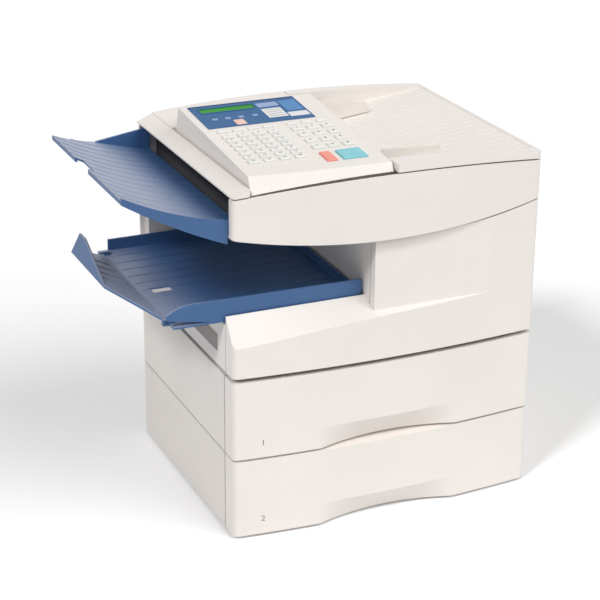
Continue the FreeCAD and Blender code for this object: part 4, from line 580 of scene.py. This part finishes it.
def buildDrawerNumber(word, look):
    spot = look[word]
    piece = lettering(word + "DrawerNumber", spot["number"], look["letter"] * mm, look["thick"] * mm)
    share = look["across"] / look["half"]
    depth = look["front"] - look["bow"] * (1 - share * share)
    slope = math.atan(2 * look["bow"] * look["across"] / look["half"] ** 2)
    piece.rotation_euler = (math.radians(90), 0, slope)
    piece.location = inMetres((look["across"], depth + look["sunk"], spot["height"]))
    settle(piece)
    dress(piece, markInk, word + "_cassette")


for unit in ("lower", "upper"):
    buildDrawerNumber(unit, drawerMarks)
print("drawers numbered")

# Cross-head screws in the rear cover's recesses
rearScrew = {"radius": 3.1, "sides": 28, "deep": 1.2, "soft": 0.3, "softSteps": 3, "seat": 168.5,
             "slotLong": 3.8, "slotWide": 0.9, "slotDeep": 0.6, "across": (-188, 0, 188),
             "heights": (235, 392)}


def buildRearScrews(look):
    letGo()
    bpy.ops.mesh.primitive_cylinder_add(vertices=look["sides"], radius=look["radius"] * mm,
                                        depth=look["deep"] * mm)
    head = bpy.context.active_object
    head.name = "screwHead"
    settle(head)
    softenEdges(head, look)
    for turn in (0, 90):
        slot = boxAt("screwSlot", (0, 0, look["deep"] / 2 * mm),
                     inMetres((look["slotLong"], look["slotWide"], 2 * look["slotDeep"])))
        slot.rotation_euler = (0, 0, math.radians(turn))
        settle(slot)
        carve = head.modifiers.new("slotCut", "BOOLEAN")
        carve.operation = "DIFFERENCE"
        carve.object = slot
        letGo()
        bpy.context.view_layer.objects.active = head
        bpy.ops.object.modifier_apply(modifier=carve.name)
        bpy.data.objects.remove(slot)
    head.rotation_euler = (math.radians(-90), 0, 0)
    settle(head)
    heads = []
    for x in look["across"]:
        for z in look["heights"]:
            spot = (x, look["seat"] + look["deep"] / 2, z)
            heads.append(copyAt(head, "screwHead", inMetres(spot)))
    bpy.data.objects.remove(head)
    dress(joinAll("rearScrews", heads), brightSteel, "body")


buildRearScrews(rearScrew)
print("screws set")

# Stage: pale floor, soft light and the camera
# Each sun has a name, a strength, a spread in degrees and the direction that it shines from
stageLook = {"floorSize": 14.0, "floorTone": 0.8, "floorSeen": 1.08, "sky": 0.34,
             "suns": (("keySun", 1.35, 12.0, (-0.63, -0.35, 0.7)),
                      ("frontSun", 1.45, 45.0, (0.4, -0.62, 0.68)))}


def seenRay(wire):
    paths = [wire.node("ShaderNodeLightPath", None, None, word)
             for word in ("Is Camera Ray", "Is Glossy Ray", "Is Transmission Ray")]
    return wire.maths("MINIMUM", paths[0] + paths[1] + paths[2], 1.0)


def buildStage(look):
    letGo()
    bpy.ops.mesh.primitive_plane_add(size=look["floorSize"], location=(0, 0, 0))
    floor = bpy.context.active_object
    floor.name = "floor"
    material, wire = newFinish("floorPaper")
    tones = [(look[word],) * 3 for word in ("floorTone", "floorSeen")]
    paper = blendColour(wire, seenRay(wire), *tones)
    wire.node("ShaderNodeOutputMaterial", None, {0: wire.node("ShaderNodeBsdfDiffuse", None, {0: paper})})
    floor.data.materials.append(material)
    world = bpy.data.worlds.new("studio")
    world.use_nodes = True
    world.node_tree.nodes.clear()
    air = Wire(world.node_tree)
    strength = seenRay(air) * (1 - look["sky"]) + look["sky"]
    light = air.node("ShaderNodeBackground", None, {0: (1, 1, 1, 1), 1: strength})
    air.node("ShaderNodeOutputWorld", None, {0: light})
    bpy.context.scene.world = world
    for name, power, spread, towards in look["suns"]:
        letGo()
        bpy.ops.object.light_add(type="SUN")
        sun = bpy.context.active_object
        sun.name = name
        sun.data.energy = power
        sun.data.angle = math.radians(spread)
        sun.rotation_euler = Vector(towards).to_track_quat("Z", "Y").to_euler()


cameraLook = {"lens": 108.163, "sensor": 36, "reach": 60, "place": (-0.949764, -2.023978, 1.151368),
              "pitch": 22.3809, "yaw": 24.0558, "roll": 0.5331}


def buildCamera(look):
    letGo()
    bpy.ops.object.camera_add()
    camera = bpy.context.active_object
    camera.name = "photoCamera"
    camera.data.sensor_width = look["sensor"]
    camera.data.lens = look["lens"]
    camera.data.clip_end = look["reach"]
    turn = (Matrix.Rotation(math.radians(-look["yaw"]), 4, "Z")
            @ Matrix.Rotation(math.radians(90 - look["pitch"]), 4, "X")
            @ Matrix.Rotation(math.radians(look["roll"]), 4, "Z"))
    camera.matrix_world = Matrix.Translation(look["place"]) @ turn
    bpy.context.scene.camera = camera


buildStage(stageLook)
buildCamera(cameraLook)
bpy.context.scene.view_settings.view_transform = "Standard"
print("stage and camera set")
